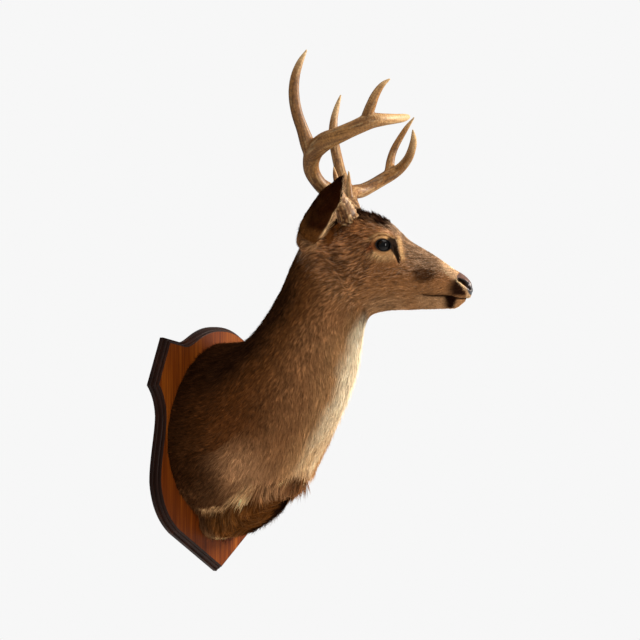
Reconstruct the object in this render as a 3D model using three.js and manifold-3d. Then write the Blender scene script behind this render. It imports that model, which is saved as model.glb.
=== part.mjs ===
// Shoulder mount of an eight-point white-tailed buck on a moulded shield board.
// Millimetres, +Z up. The origin is the middle of the board's back face, on the wall. The front of
// the mount faces -Y and the deer's left side is +X. The head has a frame of its own, turned to the
// deer's left, in which x is to the left, y is the distance behind the nose and z is the height.
import * as THREE from "three";
import { mergeVertices } from "three/addons/utils/BufferGeometryUtils.js";
import Module from "manifold-3d";

const wasm = await Module();
wasm.setup();

// ---------------------------------------------------------------- driving dimensions

const GAP = 0.3; // between pieces that touch
const HEAD_TURN = THREE.MathUtils.degToRad(20);
const NOSE = new THREE.Vector3(115, -497, 0); // the nose tip in plan
const BODY_SIDES = 26;
const ROUND_SIDES = 12; // of an eye, a burr and a pedicle
const BALL_ROWS = 8;
const WELD = 1e-3; // vertices closer than this are one
const FAR = 300; // safely beyond the sides and the bottom of the body
const PROBE = 0.5; // side of the small box that finds a piece by a point inside it

// The board: corners of its right half, from the top of the hump to the point, and the pulls of the
// curves between them. Its edge is a square back edge under a rounded front.
const SHIELD = {
  humpTop: [0, 237],
  humpPull: [76, 238],
  valleyPull: [98, 198],
  valley: [126, 205],
  corner: [174, 212],
  shoulder: [213, 124],
  waistPull: [191, 102],
  waist: [188, 68],
  hipPull: [188, 38],
  bellyPull: [205, -12],
  belly: [204, -52],
  skirtPull: [197, -112],
  skirt: [145, -149],
  point: [0, -235],
};
const BACK_SLAB = { depth: 8, round: 1.5, inset: 0, facets: 1 };
const FRONT_SLAB = { depth: 20, round: 6, inset: 6, facets: 2 };
const SHIELD_CURVE_STEPS = 4;

// Sections of the trunk and neck, from the board to the poll. Each lies in a plane through a point on
// the back line and one on the chest line: their x, distance from the wall and height, then the half
// width, where the widest place is from back to chest, how full each side of it is, and the turn.
const TRUNK_FIELDS = [
  "backX", "backOut", "backUp", "chestX", "chestOut", "chestUp",
  "half", "widest", "backFull", "chestFull", "turn",
];
const TRUNK = [
  [0, 20.3, 205, 0, 20.3, -146, 180, 0.51, 1.8, 1.9, 0],
  [0, 56, 205, 0, 74, -143, 176, 0.51, 1.85, 2, 0],
  [0, 90, 209, 0, 126, -122, 165, 0.51, 1.9, 2.1, 0],
  [0, 117, 226, 0, 170, -84, 148, 0.52, 1.9, 2.1, 0],
  [0, 139, 255, 0, 210, -36, 130, 0.53, 1.9, 2.1, 1],
  [0, 157, 289, 2, 243, 14, 112, 0.54, 1.9, 2.1, 3],
  [0, 169, 319, 5, 271, 60, 98, 0.55, 1.9, 2.1, 6],
  [1, 179, 350, 9, 296, 108, 88, 0.55, 1.9, 2.1, 9],
  [3, 190, 378, 17, 310, 158, 80, 0.55, 1.9, 2.1, 13],
  [7, 206, 399, 28, 315, 207, 75, 0.54, 1.9, 2.1, 17],
  [13, 226, 414, 41, 319, 248, 70, 0.52, 2, 2.1, 20],
];
const TRUNK_RINGS = 17;
const NECK_FOOT = [[225, -20], [95, 222]]; // chest and back of the cut, as out and up
const NECK_MIDDLE = [[286, 108], [140, 292]];

// Below the crease over each foreleg: the stub of the leg, and the brisket between the two.
const BRISKET_FIELDS = ["out", "top", "bottom", "half"];
const BRISKET = [
  [20.3, -92, -176, 82],
  [50, -88, -171, 86],
  [80, -80, -162, 84],
  [110, -66, -144, 74],
  [140, -48, -121, 60],
  [170, -30, -88, 42],
  [196, -20, -66, 26],
  [214, -28, -58, 12],
];
const BRISKET_RINGS = 12;
const BRISKET_SIDES = 18;
const CREASE = [[-20, -99], [60, -104], [98, -96], [128, -80], [158, -56], [260, -30]];
const LEG_INNER = 32; // where the foreleg stub ends and the brisket starts

// Sections of the head: distance behind the nose, the top and bottom heights, then half widths of the
// bridge, of the widest place and of the jaw, and how high the widest place is, from 0 to 1.
const HEAD_FIELDS = ["back", "top", "bottom", "bridge", "wide", "jaw", "wideAt"];
const HEAD = [
  [0, 311, 291, 9, 15, 9, 0.5],
  [8, 322, 284, 15, 23.5, 15, 0.5],
  [18, 330, 277, 18, 28, 18, 0.48],
  [32, 339, 265, 19, 31, 20, 0.45],
  [50, 353, 264, 20, 33, 21, 0.4],
  [70, 367, 263, 21, 35, 22, 0.38],
  [92, 381, 263, 24, 39, 24, 0.4],
  [112, 392, 262, 30, 45, 26, 0.48],
  [132, 412, 262, 38, 54, 29, 0.6],
  [152, 431, 261, 43, 62, 32, 0.66],
  [172, 439, 258, 45, 63.5, 35, 0.66],
  [195, 448, 252, 46, 61, 39, 0.6],
  [220, 449, 250, 46, 60, 43, 0.58],
  [250, 434, 256, 44, 60, 46, 0.56],
  [280, 415, 275, 40, 57, 44, 0.54],
  [305, 398, 300, 30, 42, 32, 0.54],
];
const HEAD_RINGS = 20;
const HEAD_SIDES = 22;
const HEAD_CORNER = 0.1; // share of the height at which the bridge and jaw widths are taken
const POLL = [[200, 250], [330, 385]]; // throat and nape of the cut behind the head, as back and up
const MUZZLE_BACK = 92;
const MOUTH_LINE = [[-20, 279], [17, 281], [37, 284], [51, 287], [72, 288], [MUZZLE_BACK + 20, 291]];
const JAW_LOW = 200; // safely below the jaw
const NOSE_PAD_EDGE = [[16, 275], [30, 345]];
const NOSTRIL = { out: 13, back: 4, up: 309, half: [4.5, 7.8, 4.2], facets: 6 };
const EYE = { radius: 15.5, out: 48, back: 156.5, up: 379.5 };
const EYE_OPENING = { out: 65, half: [7, 17, 10.5], facets: 8 }; // between the lids

// The ears: the base and tip of each as out, back and up. The right one is pricked forwards and the
// left one is held more to the side. Then the sections from base to tip: the half width, how far the
// back and the rim stand behind and in front of the widest line, and the thickness of the wall.
const EARS = {
  right: { base: [60, 294, 396], tip: [146, 213, 497] },
  left: { base: [60, 296, 396], tip: [178, 262, 484] },
};
const EAR_FIELDS = ["along", "half", "depth", "rim", "wall"];
const EAR = [
  [-0.16, 18, 20, 15, 9],
  [0, 22, 25, 18, 8],
  [0.14, 28, 28, 19, 7],
  [0.3, 33, 26, 16, 6],
  [0.46, 34, 22, 10, 5.5],
  [0.62, 32, 19, 6, 5],
  [0.78, 25, 13, 4, 4],
  [0.92, 13, 7, 2, 3],
];
const EAR_RINGS = 9;
const EAR_SIDES = 12;
const EAR_OPENS_OUT = -0.6; // how much the ear's opening looks outwards, against forwards
const EAR_MOUTH = 12; // how far the cut that opens the hollow runs past the rim
const EAR_HOLLOW = [0.16, 0.9]; // where the hollow starts and ends along the ear
const EAR_ROOT = 0.03; // where the ear's own node starts

// Each antler: points of its beam as out, back, up and radius, then its tines the same way.
const BEAM_SIDES = 10;
const TINE_SIDES = 8;
const RING_STEP = 28;
const BURR = { radius: 24, depth: 9, footShare: 0.86, topShare: 0.92 };
const PEDICLE = { radius: 20, length: 34 };
const ANTLERS = {
  right: {
    beam: [
      [36, 223, 428, 18.5], [45, 233, 454, 17], [60, 250, 475, 16], [79, 271, 492, 13.5],
      [102, 282, 516, 14.5], [127, 273, 542, 17], [147, 250, 557, 17], [160, 224, 565, 15],
      [169, 192, 576, 14], [169, 164, 587, 14], [154, 143, 592, 11], [126, 126, 598, 9],
      [96, 114, 605, 7.5], [68, 109, 612, 4.5],
    ],
    brow: [[56, 236, 474, 8], [58, 242, 496, 6.5], [58, 246, 512, 4.5], [56, 249, 527, 1.6]],
    second: [
      [122, 276, 532, 13], [131, 283, 556, 13.5], [139, 290, 580, 11.5], [149, 299, 610, 10.5],
      [157, 303, 642, 10], [161, 300, 672, 8.5], [161, 291, 699, 6], [158, 279, 722, 1.8],
    ],
    third: [
      [168, 174, 582, 11.5], [175, 162, 613, 9.5], [178, 152, 634, 7.5], [178, 140, 650, 5],
      [175, 127, 660, 1.8],
    ],
  },
  left: {
    beam: [
      [36, 222, 428, 18.5], [47, 229, 452, 17], [62, 236, 470, 16], [82, 242, 486, 14.5],
      [104, 243, 498, 14.5], [126, 238, 504, 14.5], [145, 227, 509, 14], [160, 210, 520, 13],
      [170, 191, 533, 13], [171, 172, 544, 13], [166, 155, 553, 11], [153, 138, 568, 9.5],
      [134, 127, 584, 8.5], [108, 120, 600, 6.5], [78, 118, 615, 1.8],
    ],
    brow: [[57, 234, 462, 8], [58, 237, 486, 6.5], [58, 239, 512, 5], [56, 239, 536, 1.6]],
    second: [
      [106, 242, 500, 13], [118, 258, 538, 11.5], [131, 274, 576, 10.5], [143, 284, 616, 10],
      [151, 285, 650, 8], [155, 279, 680, 5.5], [156, 271, 705, 1.8],
    ],
    third: [
      [171, 176, 542, 11], [177, 174, 573, 8.5], [180, 167, 596, 7.5], [181, 155, 618, 6.5],
      [179, 141, 639, 5], [174, 126, 657, 1.8],
    ],
  },
};
// Where each antler is parted, as a share of its beam or tine.
const FORK_CUTS = {
  right: { middle: 0.46, tip: 0.74, brow: 0.58, second: 0.2, third: 0.26 },
  left: { middle: 0.42, tip: 0.72, brow: 0.5, second: 0.18, third: 0.22 },
};

// ---------------------------------------------------------------- finishes

const COAT = [0x6a4a32, 0.85];
const CREAM = [0xb59a78, 0.85];
const EAR_BACK = [0x2c1c14, 0.85];
const NOSE_SKIN = [0x1c1a1c, 0.4];
const GLASS_EYE = [0x0c0705, 0.08];
const ANTLER = [0x9a6c3c, 0.4];
const MAHOGANY = [0x5a2714, 0.35];

// ---------------------------------------------------------------- solids and lofts

function solidOf(geometry) {
  const bare = geometry.clone();
  bare.deleteAttribute("normal");
  bare.deleteAttribute("uv");
  const merged = mergeVertices(bare, WELD);
  const vertProperties = merged.attributes.position.array;
  const triVerts = new Uint32Array(merged.index.array);
  const made = new wasm.Manifold(new wasm.Mesh({ numProp: 3, vertProperties, triVerts }));
  if (made.volume() > 0) return made;
  triVerts.reverse();
  return new wasm.Manifold(new wasm.Mesh({ numProp: 3, vertProperties, triVerts }));
}

function geometryOf(solid) {
  const mesh = solid.getMesh();
  const positions = new Float32Array(mesh.numVert * 3);
  for (let i = 0; i < mesh.numVert; i++)
    positions.set(mesh.vertProperties.subarray(i * mesh.numProp, i * mesh.numProp + 3), i * 3);
  return new THREE.BufferGeometry()
    .setAttribute("position", new THREE.BufferAttribute(positions, 3))
    .setIndex(new THREE.BufferAttribute(mesh.triVerts, 1));
}

function middleOf(points) {
  const sum = points.reduce((total, p) => total.add(p), new THREE.Vector3());
  return sum.divideScalar(points.length);
}

// A closed body through rings of equal counts, with a fan from each end ring to its apex.
function loft(rings, firstApex = middleOf(rings[0]), lastApex = middleOf(rings.at(-1))) {
  const sides = rings[0].length;
  const end = (rings.length - 1) * sides;
  const index = [];
  for (let side = 0; side < sides; side++) {
    const next = (side + 1) % sides;
    index.push(end + sides, next, side);
    index.push(end + sides + 1, end + side, end + next);
    for (let row = 0; row < end; row += sides) {
      index.push(row + side, row + next, row + sides + next);
      index.push(row + side, row + sides + next, row + sides + side);
    }
  }
  const points = [...rings.flat(), firstApex, lastApex];
  return solidOf(new THREE.BufferGeometry().setFromPoints(points).setIndex(index));
}

// Smooth values between stations, for a share from 0 at the first to 1 at the last.
function smoothBetween(stations, fields) {
  const keys = stations.map((_, i) => i / (stations.length - 1));
  const track = new THREE.CubicInterpolant(keys, stations.flat(), fields.length);
  return (share) => {
    const values = track.evaluate(share);
    return Object.fromEntries(fields.map((field, i) => [field, values[i]]));
  };
}

function ringsAlong(stations, fields, count, ringAt) {
  const at = smoothBetween(stations, fields);
  return Array.from({ length: count }, (_, i) => ringAt(at(i / (count - 1))));
}

function ovalPoint(angle, fullness) {
  const round = (value) => Math.sign(value) * Math.abs(value) ** (2 / fullness);
  return [round(Math.sin(angle)), round(Math.cos(angle))];
}

function anglesOf(count) {
  return Array.from({ length: count }, (_, i) => (i / count) * 2 * Math.PI);
}

function inBody(left, out, up) {
  return new THREE.Vector3(left, -out, up);
}

function headWay(left, back, up) {
  return new THREE.Vector3(left, back, up).applyAxisAngle(new THREE.Vector3(0, 0, 1), HEAD_TURN);
}

function inHead(left, back, up) {
  return headWay(left, back, up).add(NOSE);
}

function ball(radius, centre) {
  const geometry = new THREE.SphereGeometry(radius, ROUND_SIDES, BALL_ROWS);
  return solidOf(geometry.translate(...centre.toArray()));
}

// A ball stretched along the head's own left, back and up.
function egg(half, facets, centre) {
  const geometry = new THREE.SphereGeometry(1, facets + 2, facets);
  geometry.scale(...half).rotateZ(HEAD_TURN);
  return solidOf(geometry.translate(...centre.toArray()));
}

// A short cylinder from one point along a direction.
function rod(from, along, radius, length) {
  const geometry = new THREE.CylinderGeometry(radius, radius, length, ROUND_SIDES);
  geometry.translate(0, length / 2, 0);
  return solidOf(stoodUp(geometry, from, along));
}

function stoodUp(geometry, from, along) {
  const turn = new THREE.Quaternion().setFromUnitVectors(new THREE.Vector3(0, 1, 0), along);
  return geometry.applyQuaternion(turn).translate(...from.toArray());
}

// ---------------------------------------------------------------- parting

// The plane through two points seen from the side. Its normal looks forwards when b is above a.
function sidePlane(place, a, b) {
  return new THREE.Plane().setFromCoplanarPoints(place(0, ...a), place(1, ...a), place(0, ...b));
}

// The solid in front of a plane and the solid behind it, with the gap between them.
function parted(solid, plane) {
  const ahead = plane.normal.toArray();
  const behind = plane.normal.clone().negate().toArray();
  const front = solid.trimByPlane(ahead, GAP / 2 - plane.constant);
  const rear = solid.trimByPlane(behind, GAP / 2 + plane.constant);
  return [front, rear];
}

// A block right across the body, under a line of points seen from the side and above a floor.
function blockUnder(place, line, floor, lift) {
  return loft(line.map(([back, up]) => [
    place(-FAR, back, up + lift), place(FAR, back, up + lift),
    place(FAR, back, floor), place(-FAR, back, floor),
  ]));
}

function underAndOver(solid, place, line, floor) {
  const under = solid.intersect(blockUnder(place, line, floor, -GAP / 2));
  const over = solid.subtract(blockUnder(place, line, floor, GAP / 2));
  return [under, over];
}

function largest(solid) {
  return solid.decompose().sort((a, b) => b.volume() - a.volume())[0];
}

function holding(pieces, point) {
  const probe = new THREE.BoxGeometry(PROBE, PROBE, PROBE).translate(...point.toArray());
  const box = solidOf(probe);
  return pieces.find((piece) => piece.intersect(box).volume() > 0);
}

// ---------------------------------------------------------------- shield board

function shieldShape() {
  const s = SHIELD;
  const right = new THREE.Path();
  right.moveTo(...s.humpTop);
  right.bezierCurveTo(...s.humpPull, ...s.valleyPull, ...s.valley);
  right.lineTo(...s.corner);
  right.lineTo(...s.shoulder);
  right.quadraticCurveTo(...s.waistPull, ...s.waist);
  right.bezierCurveTo(...s.hipPull, ...s.bellyPull, ...s.belly);
  right.quadraticCurveTo(...s.skirtPull, ...s.skirt);
  right.lineTo(...s.point);
  const points = right.getPoints(SHIELD_CURVE_STEPS);
  const left = points.slice(1, -1).reverse().map((p) => new THREE.Vector2(-p.x, p.y));
  return new THREE.Shape([...points, ...left]);
}

// A slab of the board from the wall forwards, with both of its edges rounded.
function slab(shape, { depth, round, inset, facets }) {
  const geometry = new THREE.ExtrudeGeometry(shape, {
    depth: depth - 2 * round,
    bevelThickness: round,
    bevelSize: round,
    bevelOffset: -round - inset,
    bevelSegments: facets,
  });
  geometry.translate(0, 0, round).rotateX(Math.PI / 2);
  return solidOf(geometry);
}

function shieldBoard() {
  const shape = shieldShape();
  return slab(shape, BACK_SLAB).add(slab(shape, FRONT_SLAB));
}

// ---------------------------------------------------------------- trunk, neck and brisket

function trunkRing(s) {
  const back = inBody(s.backX, s.backOut, s.backUp);
  const chest = inBody(s.chestX, s.chestOut, s.chestUp);
  const turn = THREE.MathUtils.degToRad(s.turn);
  const left = new THREE.Vector3(Math.cos(turn), Math.sin(turn), 0);
  return anglesOf(BODY_SIDES).map((angle) => {
    const onBack = Math.cos(angle) > 0;
    const [out, rise] = ovalPoint(angle, onBack ? s.backFull : s.chestFull);
    const share = s.widest - rise * (onBack ? s.widest : 1 - s.widest);
    return back.clone().lerp(chest, share).addScaledVector(left, s.half * out);
  });
}

function brisketRing(s) {
  const middle = (s.top + s.bottom) / 2;
  return anglesOf(BRISKET_SIDES).map((angle) => {
    const [out, rise] = ovalPoint(angle, 2.2);
    return inBody(s.half * out, s.out, middle + (s.top - middle) * rise);
  });
}

function trunkAndNeck() {
  const trunk = loft(ringsAlong(TRUNK, TRUNK_FIELDS, TRUNK_RINGS, trunkRing));
  const brisket = loft(ringsAlong(BRISKET, BRISKET_FIELDS, BRISKET_RINGS, brisketRing));
  return trunk.add(brisket);
}

// ---------------------------------------------------------------- head and ears

function headRing(s) {
  const high = s.top - s.bottom;
  const half = [
    [s.bridge, s.top - HEAD_CORNER * high],
    [s.wide, s.bottom + s.wideAt * high],
    [s.jaw, s.bottom + HEAD_CORNER * high],
  ];
  const otherHalf = half.toReversed().map(([left, up]) => [-left, up]);
  const outline = [[0, s.top], ...half, [0, s.bottom], ...otherHalf];
  const points = outline.map(([left, up]) => inHead(left, s.back, up));
  const curve = new THREE.CatmullRomCurve3(points, true, "centripetal");
  return Array.from({ length: HEAD_SIDES }, (_, i) => curve.getPoint(i / HEAD_SIDES));
}

function headSolid() {
  return loft(ringsAlong(HEAD, HEAD_FIELDS, HEAD_RINGS, headRing));
}

function earFrame(name, side) {
  const [base, tip] = [EARS[name].base, EARS[name].tip].map(([out, back, up]) =>
    inHead(side * out, back, up));
  const way = tip.clone().sub(base);
  const length = way.length();
  const axis = way.clone().normalize();
  const opening = headWay(side * EAR_OPENS_OUT, -1, 0);
  opening.addScaledVector(axis, -opening.dot(axis)).normalize();
  const across = axis.clone().cross(opening);
  const at = (along, sideways, forwards) => base.clone()
    .addScaledVector(axis, along * length)
    .addScaledVector(across, sideways)
    .addScaledVector(opening, forwards);
  return { at, axis, tip };
}

// A leaf with a round back, and the hollow that opens its front.
function earSolid(frame) {
  const ring = (along, half, depth, front) => anglesOf(EAR_SIDES).map((angle) => {
    const forwards = Math.cos(angle) * (Math.cos(angle) > 0 ? front : depth);
    return frame.at(along, half * Math.sin(angle), forwards);
  });
  const leaf = ringsAlong(EAR, EAR_FIELDS, EAR_RINGS, (s) => ring(s.along, s.half, s.depth, s.rim));
  const at = smoothBetween(EAR, EAR_FIELDS);
  const [start, end] = EAR_HOLLOW;
  const hollow = Array.from({ length: EAR_RINGS }, (_, i) => {
    const share = THREE.MathUtils.lerp(start, end, i / (EAR_RINGS - 1));
    const s = at(share);
    return ring(s.along, s.half - s.wall, s.depth - s.wall, s.rim + EAR_MOUTH);
  });
  return loft(leaf, undefined, frame.tip).subtract(loft(hollow));
}

// The ear's own piece and the root that stays with the head.
function earAndRoot(name, side) {
  const frame = earFrame(name, side);
  const plane = new THREE.Plane().setFromNormalAndCoplanarPoint(frame.axis, frame.at(EAR_ROOT, 0, 0));
  return parted(earSolid(frame), plane);
}

// ---------------------------------------------------------------- antlers

// Frames along a route that turn as little as they can from one step to the next.
function framesAlong(route, steps) {
  let normal = new THREE.Vector3(0, 0, 1);
  return Array.from({ length: steps + 1 }, (_, i) => {
    const share = i / steps;
    const tangent = route.getTangent(share);
    normal = normal.clone().addScaledVector(tangent, -normal.dot(tangent)).normalize();
    return { share, at: route.getPoint(share), normal, binormal: tangent.clone().cross(normal) };
  });
}

function antlerTube(points, side, sides) {
  const places = points.map(([out, back, up]) => inHead(side * out, back, up));
  const route = new THREE.CatmullRomCurve3(places, false, "centripetal");
  const radiusAt = smoothBetween(points.map((p) => [p[3]]), ["radius"]);
  const rings = framesAlong(route, Math.round(route.getLength() / RING_STEP)).map((frame) => {
    const { radius } = radiusAt(frame.share);
    return anglesOf(sides).map((angle) => frame.at.clone()
      .addScaledVector(frame.normal, radius * Math.cos(angle))
      .addScaledVector(frame.binormal, radius * Math.sin(angle)));
  });
  const tip = route.getPoint(1).addScaledVector(route.getTangent(1), points.at(-1)[3]);
  return { route, radiusAt, solid: loft(rings, undefined, tip) };
}

// The thickened ring at the antler's foot.
function burr(foot, along, beamRadius) {
  const { radius, depth, footShare, topShare } = BURR;
  const profile = [
    [0, 0], [footShare * radius, 0], [radius, depth / 2], [topShare * radius, depth],
    [beamRadius, 2 * depth], [0, 2 * depth],
  ];
  const points = profile.map(([r, up]) => new THREE.Vector2(r, up));
  return solidOf(stoodUp(new THREE.LatheGeometry(points, ROUND_SIDES), foot, along));
}

function forkCut(tube, share) {
  const { radius } = tube.radiusAt(share);
  const along = tube.route.getTangent(share);
  return rod(tube.route.getPoint(share), along, 1.4 * radius, GAP);
}

function antler(name, side) {
  const points = ANTLERS[name];
  const cuts = FORK_CUTS[name];
  const beam = antlerTube(points.beam, side, BEAM_SIDES);
  const tines = {
    brow: antlerTube(points.brow, side, TINE_SIDES),
    second: antlerTube(points.second, side, TINE_SIDES),
    third: antlerTube(points.third, side, TINE_SIDES),
  };
  const foot = beam.route.getPoint(0);
  const along = beam.route.getTangent(0);
  let whole = beam.solid.add(burr(foot, along, points.beam[0][3]));
  for (const tine of Object.values(tines)) whole = whole.add(tine.solid);
  for (const share of [cuts.middle, cuts.tip]) whole = whole.subtract(forkCut(beam, share));
  for (const [tine, tube] of Object.entries(tines)) whole = whole.subtract(forkCut(tube, cuts[tine]));
  const pieces = whole.decompose();
  const found = {
    base: holding(pieces, beam.route.getPoint(cuts.middle / 2)),
    middle: holding(pieces, beam.route.getPoint((cuts.middle + cuts.tip) / 2)),
    tip: holding(pieces, beam.route.getPoint((cuts.tip + 1) / 2)),
  };
  for (const [tine, tube] of Object.entries(tines))
    found[`${tine}_tine`] = holding(pieces, tube.route.getPoint((cuts[tine] + 1) / 2));
  return { pieces: found, foot, along };
}

// The bony stump in the scalp that carries the antler, and the seat that keeps the hair off the burr.
function pedicle({ foot, along }) {
  const { radius, length } = PEDICLE;
  return rod(foot.clone().addScaledVector(along, -length), along, radius, length - GAP);
}

function burrSeat({ foot, along }) {
  return rod(foot.clone().addScaledVector(along, -GAP), along, BURR.radius + GAP, 4 * BURR.depth);
}

// ---------------------------------------------------------------- assembly

const mount = new THREE.Group();

function addNode(name, solid, [color, roughness]) {
  const material = new THREE.MeshStandardMaterial({ color, roughness, metalness: 0 });
  const mesh = new THREE.Mesh(geometryOf(solid), material);
  mesh.name = name;
  mount.add(mesh);
}

addNode("shield_board", shieldBoard(), MAHOGANY);

let flesh = trunkAndNeck().add(headSolid());
const sides = { right: -1, left: 1 };
for (const [name, side] of Object.entries(sides)) {
  const [ear, root] = earAndRoot(name, side);
  const grown = antler(name, side);
  const eye = inHead(side * EYE.out, EYE.back, EYE.up);
  flesh = flesh.add(root).subtract(ear).add(pedicle(grown)).subtract(burrSeat(grown));
  const opening = inHead(side * EYE_OPENING.out, EYE.back, EYE.up);
  const nostril = inHead(side * NOSTRIL.out, NOSTRIL.back, NOSTRIL.up);
  flesh = flesh.subtract(ball(EYE.radius + GAP, eye));
  flesh = flesh.subtract(egg(EYE_OPENING.half, EYE_OPENING.facets, opening));
  flesh = flesh.subtract(egg(NOSTRIL.half, NOSTRIL.facets, nostril));
  addNode(`ear_${name}`, largest(ear), EAR_BACK);
  addNode(`eye_${name}`, ball(EYE.radius, eye), GLASS_EYE);
  for (const [piece, solid] of Object.entries(grown.pieces))
    addNode(`antler_${name}_${piece}`, solid, ANTLER);
}

const [wholeHead, body] = parted(flesh, sidePlane(inHead, ...POLL));
const [face, head] = parted(wholeHead, sidePlane(inHead, [MUZZLE_BACK, 0], [MUZZLE_BACK, 1]));
const [jaw, upperFace] = underAndOver(face, inHead, MOUTH_LINE, JAW_LOW);
const [nosePad, muzzle] = parted(upperFace, sidePlane(inHead, ...NOSE_PAD_EDGE));
addNode("head", largest(head), COAT);
addNode("muzzle", largest(muzzle), COAT);
addNode("nose_pad", largest(nosePad), NOSE_SKIN);
addNode("lower_jaw", largest(jaw), CREAM);

const [upperNeck, belowNeck] = parted(body, sidePlane(inBody, ...NECK_MIDDLE));
const [lowerNeck, chest] = parted(belowNeck, sidePlane(inBody, ...NECK_FOOT));
const [underChest, trunk] = underAndOver(chest, inBody, CREASE, -FAR);
addNode("neck_upper", largest(upperNeck), COAT);
addNode("neck_lower", largest(lowerNeck), COAT);
addNode("trunk", largest(trunk), COAT);

const acrossLeft = new THREE.Vector3(1, 0, 0);
const [leftLeg, notLeft] = parted(underChest, new THREE.Plane(acrossLeft, -LEG_INNER));
const [brisket, rightLeg] = parted(notLeft, new THREE.Plane(acrossLeft, LEG_INNER));
addNode("foreleg_stub_left", largest(leftLeg), COAT);
addNode("brisket", largest(brisket), COAT);
addNode("foreleg_stub_right", largest(rightLeg), COAT);

export default mount;
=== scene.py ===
"""White-tailed deer shoulder mount on a moulded wooden shield: the visual model.

Metres, +Z up. The wall is the plane y = 0, the mount faces -Y and the deer's left is +X. The head has
a frame of its own, in millimetres: x to the deer's left, y the distance behind the nose, z the height.
Work on one side of the head turns x to point outwards first.
"""

import logging
import math
from dataclasses import dataclass, field
from enum import Enum
from functools import cache, cached_property

import bmesh
import bpy
import numpy as np
from mathutils import Matrix, Vector


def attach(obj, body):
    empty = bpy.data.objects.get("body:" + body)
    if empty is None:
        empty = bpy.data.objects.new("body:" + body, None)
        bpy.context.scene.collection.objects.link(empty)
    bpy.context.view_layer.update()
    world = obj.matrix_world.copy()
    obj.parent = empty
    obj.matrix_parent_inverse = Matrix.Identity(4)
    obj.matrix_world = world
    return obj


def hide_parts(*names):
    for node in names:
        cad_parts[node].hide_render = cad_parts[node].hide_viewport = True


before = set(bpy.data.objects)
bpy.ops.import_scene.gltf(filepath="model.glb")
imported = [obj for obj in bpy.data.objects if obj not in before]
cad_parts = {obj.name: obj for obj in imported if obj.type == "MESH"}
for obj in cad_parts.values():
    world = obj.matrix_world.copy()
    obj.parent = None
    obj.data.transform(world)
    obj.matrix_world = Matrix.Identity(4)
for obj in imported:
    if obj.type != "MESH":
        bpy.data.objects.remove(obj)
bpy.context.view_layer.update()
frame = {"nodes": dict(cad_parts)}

LOG = logging.getLogger("deer_mount")
MM = 0.001
BODY = "root"
COAT_MAP = "OFBake"
COAT_COLOUR = "Coat"
BARE_SKIN = "Bare"
FAR = 99  # a distance that no marking reaches, in millimetres

Array = np.ndarray
Piece, Mesh, Shape = bpy.types.Object, bpy.types.Mesh, bmesh.types.BMesh
Material, Tree, Node, Socket = bpy.types.Material, bpy.types.NodeTree, bpy.types.Node, bpy.types.NodeSocket
Pair = tuple[float, float]
Triple = tuple[float, float, float]
Colour = Triple
Line = tuple[tuple[float, ...], tuple[float, ...]]


# ---- small tools


class Side(Enum):
    """The deer's own sides. The value is the sign of x there."""

    RIGHT = -1
    LEFT = 1

    @property
    def word(self) -> str:
        """The side's name."""
        return self.name.lower()

    @property
    def flip(self) -> Array:
        """What turns places on this side to a side where x is out, and back."""
        return np.array([self.value, 1.0, 1.0])


def rise(low: float | Array, high: float | Array, value: Array) -> Array:
    """0 at low, 1 at high, with a smooth way between them, and flat past both."""
    share = np.clip((value - low) / (high - low), 0, 1)
    return share * share * (3 - 2 * share)


def bump(centre: float, width: float, value: Array) -> Array:
    """A bell of height 1 round a centre."""
    return np.exp(-(((value - centre) / width) ** 2))


def window(low: float, high: float, soft: float, value: Array) -> Array:
    """1 between low and high, fading to 0 over a soft edge on both sides."""
    return rise(low - soft, low + soft, value) * rise(high + soft, high - soft, value)


def unit(vectors: Array) -> Array:
    """Vectors scaled to length 1."""
    return vectors / np.maximum(np.linalg.norm(vectors, axis=-1, keepdims=True), 1e-12)


def linear(red: int, green: int, blue: int) -> Colour:
    """A display colour in steps of 1/255 as linear light."""
    shares = (value / 255 for value in (red, green, blue))
    return tuple(share / 12.92 if share <= 0.04045 else ((share + 0.055) / 1.055) ** 2.4 for share in shares)


def value_noise(points: Array, scale: float, seed: int) -> Array:
    """Smooth random values from -1 to 1 over space.

    Args:
        points: places, one row each.
        scale: the distance between random values, in the points' unit.
        seed: picks the pattern.

    Returns:
        One value for each point.
    """
    at = points / scale + seed * 17.13
    cell = np.floor(at).astype(np.int64)
    part = at - cell
    part = part * part * (3 - 2 * part)
    total = np.zeros(len(points))
    for corner in range(8):
        step = np.array([corner & 1, corner >> 1 & 1, corner >> 2 & 1])
        key = (cell + step) @ np.array([73856093, 19349663, 83492791])
        key = (key ^ (seed * 2654435761)) & 0x7FFFFFFF
        key = (key * 1103515245 + 12345) & 0x7FFFFFFF
        key = ((key >> 8) * 69069 + 1) & 0x7FFFFFFF
        random = (key & 0xFFFFF) / 0xFFFFF * 2.0 - 1.0
        total += random * np.prod(np.where(step == 1, part, 1.0 - part), axis=1)
    return total


def rows(items: bpy.types.bpy_prop_collection, name: str, width: int, kind: type = np.float32) -> Array:
    """Reads one property of every item.

    Args:
        items: a mesh's vertices, edges or triangles.
        name: the property.
        width: how many numbers each item has.
        kind: the numbers' type.

    Returns:
        One row for each item.
    """
    flat = np.empty(len(items) * width, kind)
    items.foreach_get(name, flat)
    return flat.reshape(-1, width)


def read_points(mesh: Mesh) -> Array:
    """The mesh's vertex places, one row each."""
    return rows(mesh.vertices, "co", 3).astype(float)


def write_points(mesh: Mesh, points: Array) -> None:
    """Puts the mesh's vertices at these places."""
    mesh.vertices.foreach_set("co", points.astype(np.float32).ravel())
    mesh.update()


def read_normals(mesh: Mesh) -> Array:
    """The mesh's vertex normals, one row each."""
    return rows(mesh.vertex_normals, "vector", 3).astype(float)


def read_edges(mesh: Mesh) -> Array:
    """The mesh's edges as pairs of vertices."""
    return rows(mesh.edges, "vertices", 2, np.int32)


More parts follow.
